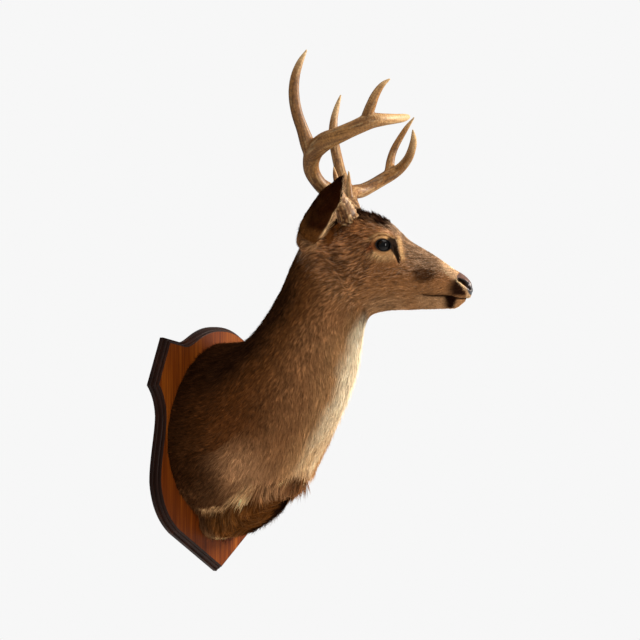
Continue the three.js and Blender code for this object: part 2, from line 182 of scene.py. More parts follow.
def read_triangles(mesh: Mesh) -> Array:
    """The mesh's triangles as rows of three vertices."""
    mesh.calc_loop_triangles()
    return rows(mesh.loop_triangles, "vertices", 3, np.int32)


def relax(points: Array, edges: Array, strength: Array, rounds: int) -> Array:
    """Moves each point towards the middle of its neighbours.

    Args:
        points: places, one row each.
        edges: pairs of neighbours.
        strength: share of the way that each point goes.
        rounds: how many times.

    Returns:
        The new places.
    """
    one, other = edges.T
    count = len(points)
    degree = np.maximum(np.bincount(one, minlength=count) + np.bincount(other, minlength=count), 1)
    for _ in range(rounds):
        middle = np.stack([
            np.bincount(one, points[other, axis], count) + np.bincount(other, points[one, axis], count)
            for axis in range(3)
        ], axis=1) / degree[:, None]
        points = points + (middle - points) * strength[:, None]
    return points


def linked(name: str, content: bpy.types.ID) -> Piece:
    """Puts a new object in the scene.

    Args:
        name: its name.
        content: its mesh, curve, lamp or camera.

    Returns:
        The object.
    """
    piece = bpy.data.objects.new(name, content)
    bpy.context.scene.collection.objects.link(piece)
    return piece


def mesh_of(name: str, shape: Shape, mesh: Mesh | None = None) -> Mesh:
    """Writes a shape out and frees it.

    Args:
        name: a name for the mesh.
        shape: the shape, which is used up.
        mesh: the mesh to write to, if it is not to be a new one.

    Returns:
        The mesh.
    """
    mesh = mesh or bpy.data.meshes.new(name)
    shape.to_mesh(mesh)
    shape.free()
    return mesh


def shape_of(mesh: Mesh) -> Shape:
    """Opens a mesh as a shape that the operators can work on.

    Args:
        mesh: the mesh, which stays as it is.

    Returns:
        The shape.
    """
    shape = bmesh.new()
    shape.from_mesh(mesh)
    shape.verts.ensure_lookup_table()
    return shape


def finished_mesh(piece: Piece) -> Mesh:
    """Applies a piece's modifiers and removes the piece.

    Args:
        piece: the object, which is used up.

    Returns:
        A new mesh.
    """
    graph = bpy.context.evaluated_depsgraph_get()
    graph.update()
    mesh = bpy.data.meshes.new_from_object(piece.evaluated_get(graph))
    bpy.data.objects.remove(piece)
    return mesh


def remeshed(name: str, mesh: Mesh, voxel: float) -> Mesh:
    """One closed skin round everything in a mesh, which is used up.

    Args:
        name: the new mesh's name.
        mesh: closed bodies that may overlap.
        voxel: size of the new faces.

    Returns:
        The skin.
    """
    piece = linked(name + "_raw", mesh)
    modifier = piece.modifiers.new("skin", "REMESH")
    modifier.mode = "VOXEL"
    modifier.voxel_size = voxel
    modifier.adaptivity = 0
    skin = finished_mesh(piece)
    bpy.data.meshes.remove(mesh)
    skin.name = name
    return skin


def keep_largest_shell(mesh: Mesh) -> None:
    """Deletes every separate shell of a mesh but the one with most vertices.

    Args:
        mesh: the mesh, which is changed.
    """
    edges = read_edges(mesh)
    label = np.arange(len(mesh.vertices))
    while True:
        low = np.minimum(label[edges[:, 0]], label[edges[:, 1]])
        new = label.copy()
        np.minimum.at(new, edges[:, 0], low)
        np.minimum.at(new, edges[:, 1], low)
        new = new[new]
        if np.array_equal(new, label):
            break
        label = new
    main = np.bincount(label).argmax()
    if (label == main).all():
        return
    shape = shape_of(mesh)
    stray = [shape.verts[i] for i in np.flatnonzero(label != main)]
    bmesh.ops.delete(shape, geom=stray, context="VERTS")
    mesh_of(mesh.name, shape, mesh)


def paint(mesh: Mesh, name: str, colours: Array) -> None:
    """Stores a colour for each vertex.

    Args:
        mesh: the mesh.
        name: the colours' name.
        colours: linear red, green and blue, one row each.
    """
    rgba = np.ones((len(mesh.vertices), 4), np.float32)
    rgba[:, :3] = colours
    layer = mesh.color_attributes.get(name) or mesh.color_attributes.new(name, "FLOAT_COLOR", "POINT")
    layer.data.foreach_set("color", rgba.ravel())


def store(mesh: Mesh, name: str, values: Array) -> None:
    """Stores a number for each vertex, under a name."""
    layer = mesh.attributes.get(name) or mesh.attributes.new(name, "FLOAT", "POINT")
    layer.data.foreach_set("value", values.astype(np.float32))


def shade_smooth(mesh: Mesh) -> None:
    """Rounds the look of every face."""
    mesh.polygons.foreach_set("use_smooth", np.ones(len(mesh.polygons), bool))
    mesh.update()


# ---- anatomy


@dataclass(frozen=True)
class HeadFrame:
    """Turns places between the row frame, in metres, and the head's, in millimetres."""

    nose: Triple = (0.115, -0.497, 0)
    turn: float = math.radians(20)

    def matrix(self) -> Array:
        """The turn from head directions to row directions."""
        c, s = math.cos(self.turn), math.sin(self.turn)
        return np.array([[c, -s, 0.0], [s, c, 0.0], [0.0, 0.0, 1.0]])

    def into(self, points: Array) -> Array:
        """Row places in the head's frame."""
        return (points - np.array(self.nose)) @ self.matrix() / MM

    def out_of(self, points: Array) -> Array:
        """Head places in the row frame."""
        return points * MM @ self.matrix().T + np.array(self.nose)

    def turned_in(self, directions: Array) -> Array:
        """Row directions in the head's frame."""
        return directions @ self.matrix()

    def turned_out(self, directions: Array) -> Array:
        """Head directions in the row frame."""
        return directions @ self.matrix().T


@dataclass(frozen=True)
class EyeSocket:
    """One eye and the opening between its lids, in the head's frame, for the side where x is out."""

    centre: Triple = (48, 156.4, 379.5)
    radius: float = 15.5
    half_length: float = 12.8
    half_height: float = 9.9
    slant: float = 0.10  # how far the front corner hangs below the back one, for each millimetre

    def offsets(self, points: Array) -> tuple[Array, Array]:
        """Distances from the middle of the opening, along its own slant.

        Args:
            points: places on one side of the head.

        Returns:
            How far behind and how far above it each is.
        """
        behind = points[:, 1] - self.centre[1]
        above = points[:, 2] - self.centre[2] - self.slant * behind
        return behind, above

    def margin(self, points: Array) -> Array:
        """Distance outside the opening's edge, seen from the side.

        Args:
            points: places on one side of the head.

        Returns:
            The distances, which are negative inside.
        """
        behind, above = self.offsets(points)
        ring = np.hypot(behind / self.half_length, above / self.half_height)
        return np.hypot(behind, above) * (1 - 1 / np.maximum(ring, 1e-3))


@dataclass(frozen=True)
class EarBone:
    """The line of one ear from base to tip, as out, behind and up, and the way that it opens."""

    base: Triple
    tip: Triple
    opens_out: float = -0.6
    widths: tuple[float, ...] = (22, 28, 33, 34, 32, 25, 13, 2)
    stations: tuple[float, ...] = (0, 0.14, 0.3, 0.46, 0.62, 0.78, 0.92, 1)

    def axes(self) -> tuple[Array, Array, Array, float]:
        """The ear's own directions.

        Returns:
            The ways along it, out of its mouth and across it, and its length.
        """
        way = np.array(self.tip) - np.array(self.base)
        length = float(np.linalg.norm(way))
        along = way / length
        opening = np.array([self.opens_out, -1.0, 0.0])
        opening = unit(opening - along * (opening @ along))
        return along, opening, np.cross(along, opening), length

    def place(self, points: Array) -> tuple[Array, Array, Array]:
        """Where points lie on the ear.

        Args:
            points: places on one side of the head.

        Returns:
            The share of its length, and the distances across it and out of its mouth.
        """
        along, opening, across, length = self.axes()
        offset = points - np.array(self.base)
        return offset @ along / length, offset @ across, offset @ opening

    def half_width(self, share: Array) -> Array:
        """Half the width of the ear at a share of its length."""
        return np.interp(share, self.stations, self.widths)


HEAD = HeadFrame()
EYE = EyeSocket()
EARS = {
    Side.RIGHT: EarBone((60, 294, 396), (146, 213, 497)),
    Side.LEFT: EarBone((60, 296, 396), (178, 262, 484)),
}
ANTLER_FOOT = (37, 224)  # out and behind, in the head's frame
# The middle line of the trunk and neck, as x, distance from the wall and height.
BODY_LINE = np.array([
    [0, 0, 25], [0, 60, 33], [0, 108, 43], [0, 143, 71], [0, 175, 110], [1, 200, 151], [3, 220, 190],
    [5, 238, 229], [10, 250, 268], [17, 261, 303], [27, 272, 331], [40, 290, 372],
], float)
TOWARDS_BACK = np.array([0.0, -0.65, 0.76])  # from throat to nape, as x, distance from the wall, height
POLL_LINE = ((200, 250), (330, 385))  # throat and nape, as behind and up in the head's frame
# The fold of the chest: its height at each distance from the wall.
FOLD_LINE = ((-20, 60, 98, 128, 158, 260), (-99, -104, -96, -80, -56, -30))


class Anatomy:
    """Where points lie on the animal: all that the coat's looks depend on."""

    def __init__(self, points: Array, normals: Array) -> None:
        """Works out the places once.

        Args:
            points: places on the skin in the row frame, in metres.
            normals: the skin's outward directions there.
        """
        self.points, self.normals = points, normals
        self.head = HEAD.into(points)
        self.head_normals = HEAD.turned_in(normals)
        self.facing_up = self.head_normals[:, 2]
        self.behind, self.up = self.head[:, 1], self.head[:, 2]
        self.side = np.where(self.head[:, 0] < 0, -1, 1)
        self.out = np.abs(self.head[:, 0])
        self.flip = np.stack([self.side, np.ones_like(self.side), np.ones_like(self.side)], 1)
        self.mirrored = self.head * self.flip
        (y0, z0), (y1, z1) = POLL_LINE
        length = math.hypot(y1 - y0, z1 - z0)
        self.ahead_of_poll = ((self.up - z0) * (y1 - y0) - (self.behind - y0) * (z1 - z0)) / length
        self.on_head = rise(-14, 14, self.ahead_of_poll)
        self.off_head = 1 - self.on_head
        self.from_antler = np.hypot(self.out - ANTLER_FOOT[0], self.behind - ANTLER_FOOT[1])
        self._along_body()
        self._on_ears()
        self.eye_margin = np.where(self.out > 30, EYE.margin(self.mirrored), FAR)
        self.above_fold = self.height - np.interp(self.wall, *FOLD_LINE)

    @classmethod
    def of(cls, mesh: Mesh) -> "Anatomy":
        """Where a mesh's vertices lie."""
        return cls(read_points(mesh), read_normals(mesh))

    def noise(self, scale: float, seed: int) -> Array:
        """Smooth random values from -1 to 1 at the places."""
        return value_noise(self.points, scale, seed)

    @cached_property
    def wander(self) -> Array:
        """Slow random values round 0 that keep the markings' edges from running straight."""
        return self.noise(0.030, 3) + 0.5 * self.noise(0.011, 4)

    @cached_property
    def nostril_reach(self) -> Array:
        """Distance from the nostril's middle line, as a share of its half width."""
        return Nostril().reach(self.mirrored)[0]

    def here(self, side: Side) -> Array:
        """1 on one side of the head, and 0 on the other."""
        return (self.side == side.value).astype(float)

    def along_skin(self, ways: Array, share: float = 1) -> Array:
        """Directions laid down on the skin by a share, at length 1."""
        return unit(ways - self.normals * (ways * self.normals).sum(1, keepdims=True) * share)

    def _along_body(self) -> None:
        """Finds the nearest place on the body's middle line."""
        outward = np.array([1.0, -1.0, 1.0])
        place = self.points * outward / MM
        best = np.full(len(place), np.inf)
        self.body_share = np.zeros(len(place))
        nearest = np.zeros_like(place)
        tangent = np.zeros_like(place)
        lengths = np.linalg.norm(np.diff(BODY_LINE, axis=0), axis=1)
        before = np.concatenate([[0], np.cumsum(lengths)])
        for start, end, length, run in zip(BODY_LINE, BODY_LINE[1:], lengths, before):
            way = (end - start) / length
            reach = np.clip((place - start) @ way, 0, length)
            foot = start + reach[:, None] * way
            gap = np.linalg.norm(place - foot, axis=1)
            nearer = gap < best
            best[nearer] = gap[nearer]
            nearest[nearer] = foot[nearer]
            tangent[nearer] = way
            self.body_share[nearer] = (run + reach[nearer]) / before[-1]
        spoke = unit(place - nearest)
        self.towards_head = tangent * outward
        self.dorsal = spoke @ TOWARDS_BACK
        self.round_back = np.arctan2(spoke[:, 0], self.dorsal)
        self.round_front = np.arctan2(spoke[:, 0], -self.dorsal)
        self.middle, self.wall, self.height = place.T

    def _on_ears(self) -> None:
        """Marks what belongs to an ear, how far along it is, and what is inside the cup."""
        blank = np.zeros((5, len(self.points)))
        self.ear, self.ear_along, self.ear_edge, self.ear_inside, self.ear_rim = blank
        for side, ear in EARS.items():
            own, normal = self.head * side.flip, self.head_normals * side.flip
            share, across, forward = ear.place(own)
            near = (np.hypot(across, forward) < 46) & (share > -0.1) & (share < 1.15) & (own[:, 0] > 40)
            mark = np.where(near, rise(0, 0.13, share), 0)
            _, opening, cross, _ = ear.axes()
            open_way = normal @ opening
            edge = np.abs(across) / np.maximum(ear.half_width(share), 4)
            facing = -np.sign(across) * (normal @ cross)
            inside = np.maximum(rise(0.60, 0.85, open_way) * rise(1.25, 0.85, edge),
                                rise(0.2, 0.6, facing) * rise(0, 0.3, open_way))
            rim = bump(0.45, 0.30, open_way) * rise(0.50, 0.80, edge) * rise(0.08, 0.25, share)
            take = mark > self.ear
            for kept, found in ((self.ear, mark), (self.ear_along, share), (self.ear_edge, edge),
                                (self.ear_inside, inside), (self.ear_rim, rim)):
                kept[take] = found[take]


# ---- hide


@dataclass
class Nostril:
    """A comma-shaped opening of the nose pad, as out, behind and up."""

    line: tuple[Triple, ...] = (
        (15, 2.5, 301), (18.6, 7.7, 305.5), (22.5, 14.3, 311.5), (25, 21.5, 316.5),
    )
    half_width: tuple[float, ...] = (3.4, 4.9, 5, 3.2)
    depth: float = 8
    rim: float = 1.2

    def reach(self, points: Array) -> tuple[Array, Array]:
        """Finds the opening's middle line.

        Args:
            points: places on one side of the head.

        Returns:
            The distance from the line as a share of the half width, and the half width.
        """
        gap = np.full(len(points), np.inf)
        width = np.ones(len(points))
        line = np.array(self.line)
        for start, end, w0, w1 in zip(line, line[1:], self.half_width, self.half_width[1:]):
            way = end - start
            share = np.clip((points - start) @ way / (way @ way), 0, 1)
            here = np.linalg.norm(points - start - share[:, None] * way, axis=1)
            nearer = here < gap
            gap[nearer] = here[nearer]
            width[nearer] = (w0 + share * (w1 - w0))[nearer]
        return gap / width, width

    def carve(self, points: Array, normals: Array) -> Array:
        """Presses the nostril into the pad.

        Args:
            points: places on one side of the head.
            normals: the surface's directions there.

        Returns:
            The new places.
        """
        reach, width = self.reach(points)
        sink = self.depth * rise(1.05, 0.45, reach) * np.minimum(width / 2.5, 1)
        swell = self.rim * bump(1.45, 0.4, reach)
        return points + normals * (swell - sink)[:, None]


@dataclass
class Mouth:
    """The closed lips, as a line of behind and up from front to corner."""

    line: tuple[Pair, ...] = (
        (-20, 284.5), (5, 284), (17, 282.5), (24, 283), (35, 287.2), (47, 288),
        (71, 288), (89, 290.5),
    )
    depth: float = 2.4
    half_width: float = 1.5
    lip: float = 0.9

    def height(self, behind: Array) -> Array:
        """How high the line is at a distance behind the nose."""
        return np.interp(behind, *zip(*self.line))

    def carve(self, points: Array, normals: Array) -> Array:
        """Draws the line between the lips and rounds each lip.

        Args:
            points: places in the head's frame.
            normals: the surface's directions there.

        Returns:
            The new places.
        """
        above = points[:, 2] - self.height(points[:, 1])
        along = rise(91, 84, points[:, 1])
        upright = rise(0.35, 0.7, np.hypot(normals[:, 0], normals[:, 1]))
        groove = self.depth * bump(0, self.half_width, above)
        rounding = self.lip * (bump(4, 2.6, above) + 0.8 * bump(-4, 2.6, above))
        corner = 1.2 * bump(88, 4, points[:, 1]) * bump(0, 4, above)
        return points + normals * ((rounding - groove) * along * upright - corner * upright)[:, None]


@dataclass
class Lids:
    """The lids, the fold above the eye and the slit down from its front corner."""

    thickness: float = 1.5
    fold_depth: float = 1
    brow: float = 1.8
    pocket: float = 2.7

    def carve(self, points: Array) -> Array:
        """Lays the lids over the eyeball.

        Args:
            points: places on one side of the head.

        Returns:
            The new places.
        """
        behind, above = EYE.offsets(points)
        margin = EYE.margin(points)
        ball = EYE.centre[0] + EYE.radius - behind ** 2 / 40 - above ** 2 / 26
        upper = rise(-3, 3, above)
        lid = ball + 0.4 + self.thickness * rise(0, 1.4, margin) - 0.25 * np.maximum(margin - 2, 0)
        lid -= self.fold_depth * bump(4.8, 1, margin) * (0.35 + 0.65 * upper)
        lid += 0.5 * upper * bump(2.6, 1.3, margin)
        sunk = ball - self.pocket
        shaped = np.where(margin < 0, sunk + (lid - sunk) * rise(-0.7, 0, margin), lid)
        weight = rise(11, 4, margin)
        moved = points.copy()
        moved[:, 0] += (shaped - points[:, 0]) * weight
        moved[:, 0] += self.brow * upper * bump(12, 4.5, margin) * rise(26, 14, np.abs(behind))
        return moved

    def slit(self, points: Array) -> Array:
        """Presses in the gland's slit in front of the eye.

        Args:
            points: places on one side of the head.

        Returns:
            The new places.
        """
        start, end = np.array([139.0, 377.0]), np.array([129.5, 349.0])
        way = end - start
        flat = points[:, 1:]
        share = np.clip((flat - start) @ way / (way @ way), 0, 1)
        gap = np.linalg.norm(flat - start - share[:, None] * way, axis=1)
        moved = points.copy()
        moved[:, 0] -= (2.2 - 1.2 * share) * np.exp(-((gap / 2.2) ** 2))
        moved[:, 0] += 0.7 * bump(4.6, 1.8, gap)
        return moved


@dataclass
class Hide:
    """The skin: one surface in place of every node of flesh, under the coat."""

    flesh: tuple[str, ...] = (
        "trunk", "neck_lower", "neck_upper", "head", "muzzle", "nose_pad", "lower_jaw", "brisket",
        "foreleg_stub_left", "foreleg_stub_right", "ear_left", "ear_right",
    )
    fillers: tuple[str, ...] = ("eye_left", "eye_right")
    voxel: float = 0.0023
    overlap: float = 0.0004
    board_face: float = 0.0202
    board_edge: Pair = (0.0203, 0.0235)  # where the skin, held at the board, begins to give
    body_rounds: int = 90
    ear_rounds: int = 30
    most_faces: int = 188000
    wanted_faces: int = 186000
    nostril: Nostril = field(default_factory=Nostril)
    mouth: Mouth = field(default_factory=Mouth)
    lids: Lids = field(default_factory=Lids)

    def build(self, nodes: dict[str, Piece]) -> Piece:
        """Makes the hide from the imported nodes.

        Args:
            nodes: the frame's nodes by name.

        Returns:
            The hide, ready for its markings and material.
        """
        skin = remeshed("hide", self._joined(nodes), self.voxel)
        keep_largest_shell(skin)
        for work in (self._smooth, self._settle, self._refine, self._sculpt, self._fold, self._thin):
            work(skin)
        shade_smooth(skin)
        return linked("hide", skin)

    def _joined(self, nodes: dict[str, Piece]) -> Mesh:
        """Puts the nodes' own meshes in one, a little swollen so that thin cuts close.

        Args:
            nodes: the frame's nodes by name.

        Returns:
            The mesh.
        """
        together = bmesh.new()
        for name in self.flesh + self.fillers:
            shape = shape_of(nodes[name].data)
            bmesh.ops.remove_doubles(shape, verts=shape.verts, dist=1e-6)
            shape.normal_update()
            for vertex in shape.verts:
                vertex.co += vertex.normal * self.overlap
            swollen = mesh_of(name + "_swollen", shape)
            together.from_mesh(swollen)
            bpy.data.meshes.remove(swollen)
        return mesh_of("flesh", together)

    def _smooth(self, skin: Mesh) -> None:
        """Rounds the facets: most on the body, least on the ears and nose.

        Args:
            skin: the hide's mesh.
        """
        at = Anatomy.of(skin)
        strength = 0.62 - 0.40 * at.on_head
        strength = strength * (1 - 0.80 * at.ear)
        strength *= 1 - 0.55 * rise(45, 20, at.behind) * at.on_head
        strength += 0.30 * rise(9, 2, at.eye_margin) * at.on_head
        strength += (0.80 - strength) * (bump(-4, 34, at.ahead_of_poll) * (1 - at.ear))
        near_fold = bump(-6, 16, at.above_fold) * rise(34, 60, at.wall) * at.off_head
        strength *= 1 - 0.85 * near_fold
        strength *= rise(*self.board_edge, -at.points[:, 1])
        write_points(skin, relax(at.points, read_edges(skin), strength, self.body_rounds))

    def _settle(self, skin: Mesh) -> None:
        """Draws the skin in by the depth of the coat, and keeps its back on the board.

        Args:
            skin: the hide's mesh.
        """
        at = Anatomy.of(skin)
        points, inward, depth = at.points, at.normals, coat_depth(at) * MM
        inward[:, 1] *= rise(0.020, 0.034, -points[:, 1])
        points -= inward * depth[:, None]
        points[-points[:, 1] < self.board_face + 0.0012, 1] = -self.board_face
        write_points(skin, points)

    def _refine(self, skin: Mesh) -> None:
        """Gives the lids, nostrils and lips smaller faces.

        Args:
            skin: the hide's mesh.
        """
        for reach, mouth_reach in ((17, 7), (9, 0)):
            points = HEAD.into(read_points(skin))
            behind, up = points[:, 1], points[:, 2]
            near = (np.abs(points[:, 0]) > 35) & (EYE.margin(points) < reach)
            near |= (behind < 30) & (up > 296) & (up < 328) & (mouth_reach > 0)
            near |= (behind < 93) & (np.abs(up - self.mouth.height(behind)) < mouth_reach)
            shape = shape_of(skin)
            chosen = [e for e in shape.edges if near[e.verts[0].index] and near[e.verts[1].index]]
            bmesh.ops.subdivide_edges(shape, edges=chosen, cuts=1, use_grid_fill=True, smooth=0.6)
            bmesh.ops.triangulate(shape, faces=[f for f in shape.faces if len(f.verts) > 4])
            mesh_of(skin.name, shape, skin)

    def _sculpt(self, skin: Mesh) -> None:
        """Shapes the nose, chin, lips, lids and ear tips.

        Args:
            skin: the hide's mesh.
        """
        points, normals = HEAD.into(read_points(skin)), HEAD.turned_in(read_normals(skin))
        chin = bump(0, 1, np.linalg.norm((points - [0, 27, 269]) / [20, 11, 10], axis=1))
        points += np.outer(2.6 * chin, unit(np.array([0.0, -0.7, -0.7])))
        around_eye = np.abs(points[:, 0]) > 35
        for side in Side:
            flip, sign = side.flip, side.value
            own = np.flatnonzero((points[:, 0] * sign > 4) & (points[:, 1] < 40))
            points[own] = self.nostril.carve(points[own] * flip, normals[own] * flip) * flip
            share = EARS[side].place(points * flip)[0]
            bent = window(0.66, 0.88, 0.10, share) * (np.abs(points[:, 0]) > 60)
            opening, across = EARS[side].axes()[1:3]
            points += np.outer(bent, (3.4 * opening + 1.5 * across) * flip)
            healed = window(0.78, 0.98, 0.03, share) * (points[:, 0] * sign > 60)
            healed *= rise(-0.45, 0, normals @ (opening * flip)) * 0.9
            points = relax(points, read_edges(skin), healed, self.ear_rounds)
            own = np.flatnonzero((points[:, 0] * sign > 34) & around_eye)
            own = own[EYE.margin(points[own] * flip) < 30]
            points[own] = self.lids.slit(self.lids.carve(points[own] * flip)) * flip
        own = np.flatnonzero(points[:, 1] < 100)
        points[own] = self.mouth.carve(points[own], normals[own])
        parting = 0.9 * bump(0, 1.3, points[:, 0]) * rise(14, 8, points[:, 1])
        points += normals * (-parting * rise(300, 292, points[:, 2]))[:, None]
        write_points(skin, HEAD.out_of(points))

    def _fold(self, skin: Mesh) -> None:
        """Deepens the fold where the chest's skin laps over the brisket.

        Args:
            skin: the hide's mesh.
        """
        at = Anatomy.of(skin)
        inside = rise(40, 70, at.wall) * at.off_head
        groove = 4.6 * bump(-4, 5, at.above_fold) * inside
        swell = 2.6 * bump(9, 9, at.above_fold) * inside
        write_points(skin, at.points + at.normals * ((swell - groove) * MM)[:, None])

    def _thin(self, skin: Mesh) -> None:
        """Joins faces on the plain parts of the body, to keep the skin light.

        Args:
            skin: the hide's mesh.
        """
        count = len(read_triangles(skin))
        if count < self.most_faces:
            return
        piece = linked("hide_fine", skin.copy())
        at = Anatomy.of(skin)
        plain = np.round((1 - 0.98 * rise(-60, -20, at.ahead_of_poll)) * 10)
        group = piece.vertex_groups.new(name="plain")
        for step in range(11):
            group.add(np.flatnonzero(plain == step).tolist(), step / 10, "REPLACE")
        modifier = piece.modifiers.new("thin", "DECIMATE")
        modifier.ratio = self.wanted_faces / count
        modifier.vertex_group = group.name
        modifier.vertex_group_factor = 1
        thinned = finished_mesh(piece)
        mesh_of(skin.name, shape_of(thinned), skin)
        bpy.data.meshes.remove(thinned)

    def dress(self, piece: Piece) -> None:
        """Paints the markings and ties the hide to its nodes.

        Args:
            piece: the hide.
        """
        at = Anatomy.of(piece.data)
        paint(piece.data, COAT_COLOUR, Markings().paint(at))
        store(piece.data, BARE_SKIN, bare_share(at))
        piece.data.materials.append(HideFinish().material())
        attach(piece, BODY)
        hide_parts(*self.flesh)


def coat_depth(at: Anatomy) -> Array:
    """How far the coat stands off the skin.

    Args:
        at: the places.

    Returns:
        The depth at each place, in millimetres.
    """
    depth = 2.7 + 1.8 * rise(-0.35, -0.8, at.dorsal)
    depth += 2.6 * rise(-60, -110, at.height)
    face = 1.9 - 0.9 * rise(150, 60, at.behind)
    depth += (face - depth) * at.on_head
    depth *= 1 - rise(30, 18, at.behind) * at.on_head
    return depth + (0.7 - depth) * at.ear


# ---- markings


class Layers:
    """Colours for a set of places, laid one over another."""

    def __init__(self, ground: Colour, count: int) -> None:
        """Covers every place with one colour."""
        self.colours = np.tile(np.array(ground), (count, 1))

    def lay(self, colour: Colour | Array, share: Array) -> None:
        """Moves the colours towards another by a share for each place."""
        self.colours += (np.asarray(colour) - self.colours) * np.clip(share, 0.0, 1.0)[:, None]


@dataclass(frozen=True)
class Markings:
    """The coat's colours, as linear light, and the lines that some of them follow.

    The stripe goes by share of the body and by height. Streak, muzzle and pad go by height in the head's
    frame, as distances behind the nose.
    """

    neck: Colour = linear(109, 67, 34)
    neck_warm: Colour = linear(164, 115, 75)
    mane: Colour = linear(54, 31, 17)
    withers: Colour = linear(48, 26, 12)
    shoulder: Colour = linear(94, 52, 22)
    shoulder_point: Colour = linear(200, 148, 104)
    flank: Colour = linear(88, 46, 17)
    throat: Colour = linear(244, 220, 184)
    chest: Colour = linear(214, 168, 116)
    crease: Colour = linear(232, 182, 128)
    brisket: Colour = linear(102, 60, 25)
    brisket_pale: Colour = linear(112, 70, 33)
    tuft: Colour = linear(255, 208, 150)
    brisket_dark: Colour = linear(22, 10, 5)
    lobe: Colour = linear(140, 92, 56)
    cheek: Colour = linear(146, 98, 60)
    cheek_low: Colour = linear(158, 112, 72)
    temple: Colour = linear(126, 80, 46)
    corner: Colour = linear(120, 62, 30)
    eye_ring: Colour = linear(214, 166, 114)
    brow: Colour = linear(216, 168, 114)
    forehead: Colour = linear(80, 55, 37)
    crown: Colour = linear(28, 14, 8)
    bridge: Colour = linear(118, 91, 68)
    bridge_side: Colour = linear(68, 41, 21)
    muzzle_band: Colour = linear(200, 160, 122)
    muzzle_side: Colour = linear(44, 24, 14)
    lip_patch: Colour = linear(26, 9, 3)
    chin: Colour = linear(184, 134, 90)
    jaw: Colour = linear(168, 126, 88)
    ear_back: Colour = linear(43, 16, 3)
    ear_rim: Colour = linear(232, 190, 140)
    ear_base: Colour = linear(118, 73, 34)
    ear_inside: Colour = linear(198, 166, 130)
    ear_fringe: Colour = linear(44, 24, 13)
    bare: Colour = linear(14, 8, 6)
    bare_top: Colour = linear(116, 84, 72)
    bare_light: Colour = linear(92, 96, 104)
    nostril_inside: Colour = linear(26, 14, 9)
    nostril_floor: Colour = linear(112, 74, 38)
    nostril_rim: Colour = linear(240, 206, 158)
    muzzle_front: Colour = linear(198, 160, 120)
    stripe_half_width: Line = ((0, 0.25, 0.5, 0.68, 0.9, 1), (34, 40, 48, 54, 36, 22))
    stripe_line: Line = ((-150, 20, 150, 200, 240, 300), (0, 4, 18, 27, 52, 90))
    streak_line: Line = ((345, 358, 373, 393), (128.5, 130.6, 136.8, 141.8))
    streak_half_width: Line = ((344, 350, 358, 373, 394), (0.6, 2.6, 4.6, 7.2, 8))
    muzzle_edge: Line = ((286, 294, 301, 309, 314, 320), (9.5, 8.5, 12.5, 18.5, 21, 24))
    pad_edge: Line = (
        (287, 294, 299, 304, 310, 317, 324, 332), (2, 5.5, 7, 11, 17, 25, 26, 22))

    def paint(self, at: Anatomy) -> Array:
        """The colour of the coat, or of the bare skin.

        Args:
            at: the places.

        Returns:
            Their colours.
        """
        body, head = self._body(at), self._head(at)
        coat = self._ears(at, body + (head - body) * at.on_head[:, None])
        mottle = 1 + 0.10 * at.noise(0.016, 5) + 0.07 * at.noise(0.045, 6)
        coat *= mottle[:, None]
        return coat + (self._pad(at) - coat) * bare_share(at)[:, None]

    def _body(self, at: Anatomy) -> Array:
        """Neck, shoulders, throat, chest and brisket.

        Args:
            at: the places.

        Returns:
            Their colours.
        """
        coat = Layers(self.neck, len(at.points))
        coat.lay(self.neck_warm, rise(0.25, -0.5, at.dorsal + 0.1 * at.wander) * 0.85)
        low = rise(0.66, 0.28, at.body_share + 0.05 * at.wander)
        low *= rise(-0.80, -0.15, at.dorsal + 0.1 * at.wander)
        coat.lay(self.shoulder, low * 0.85)
        coat.lay(self.flank, low * rise(30, -90, at.height + 14 * at.wander) * 0.7)
        # The mane: dark hair down the back of the neck, partly real and partly painted shade that widens it
        # over the back.
        start = np.interp(at.body_share, (0.75, 0.97), (0.08, 0.55))
        dark = rise(start, start + 0.55, at.dorsal + 0.13 * at.wander)
        coat.lay(self.mane, dark * (0.80 + 0.20 * rise(0.9, 0.6, at.body_share)))
        # Darker on the back near the board: dark withers hair with painted shade over it.
        painted_board_shade = rise(140, 30, at.wall) * rise(-0.75, 0.1, at.dorsal + 0.2 * at.wander)
        coat.lay(self.withers, painted_board_shade * 0.85)
        # Painted shade low down near the board, where the body meets it.
        low = rise(152, 92, at.wall + 8 * at.wander) * rise(34, -24, at.height)
        coat.lay(self.withers, low * 0.66)
        half = np.interp(at.body_share, *self.stripe_half_width)
        aside = np.abs(at.middle - np.interp(at.height, *self.stripe_line)) + 7 * at.wander
        front = rise(-0.10, -0.50, at.dorsal)
        coat.lay(self.chest, rise(half * 2.1, half, aside) * front * 0.4)
        pale = rise(0.15, 0.55, at.body_share + 0.06 * at.wander)
        stripe = Layers(self.chest, len(at.points))
        stripe.lay(self.throat, pale)
        coat.lay(stripe.colours, rise(half * 1.30, half * 0.60, aside) * front)
        self._brisket(at, coat)
        return coat.colours

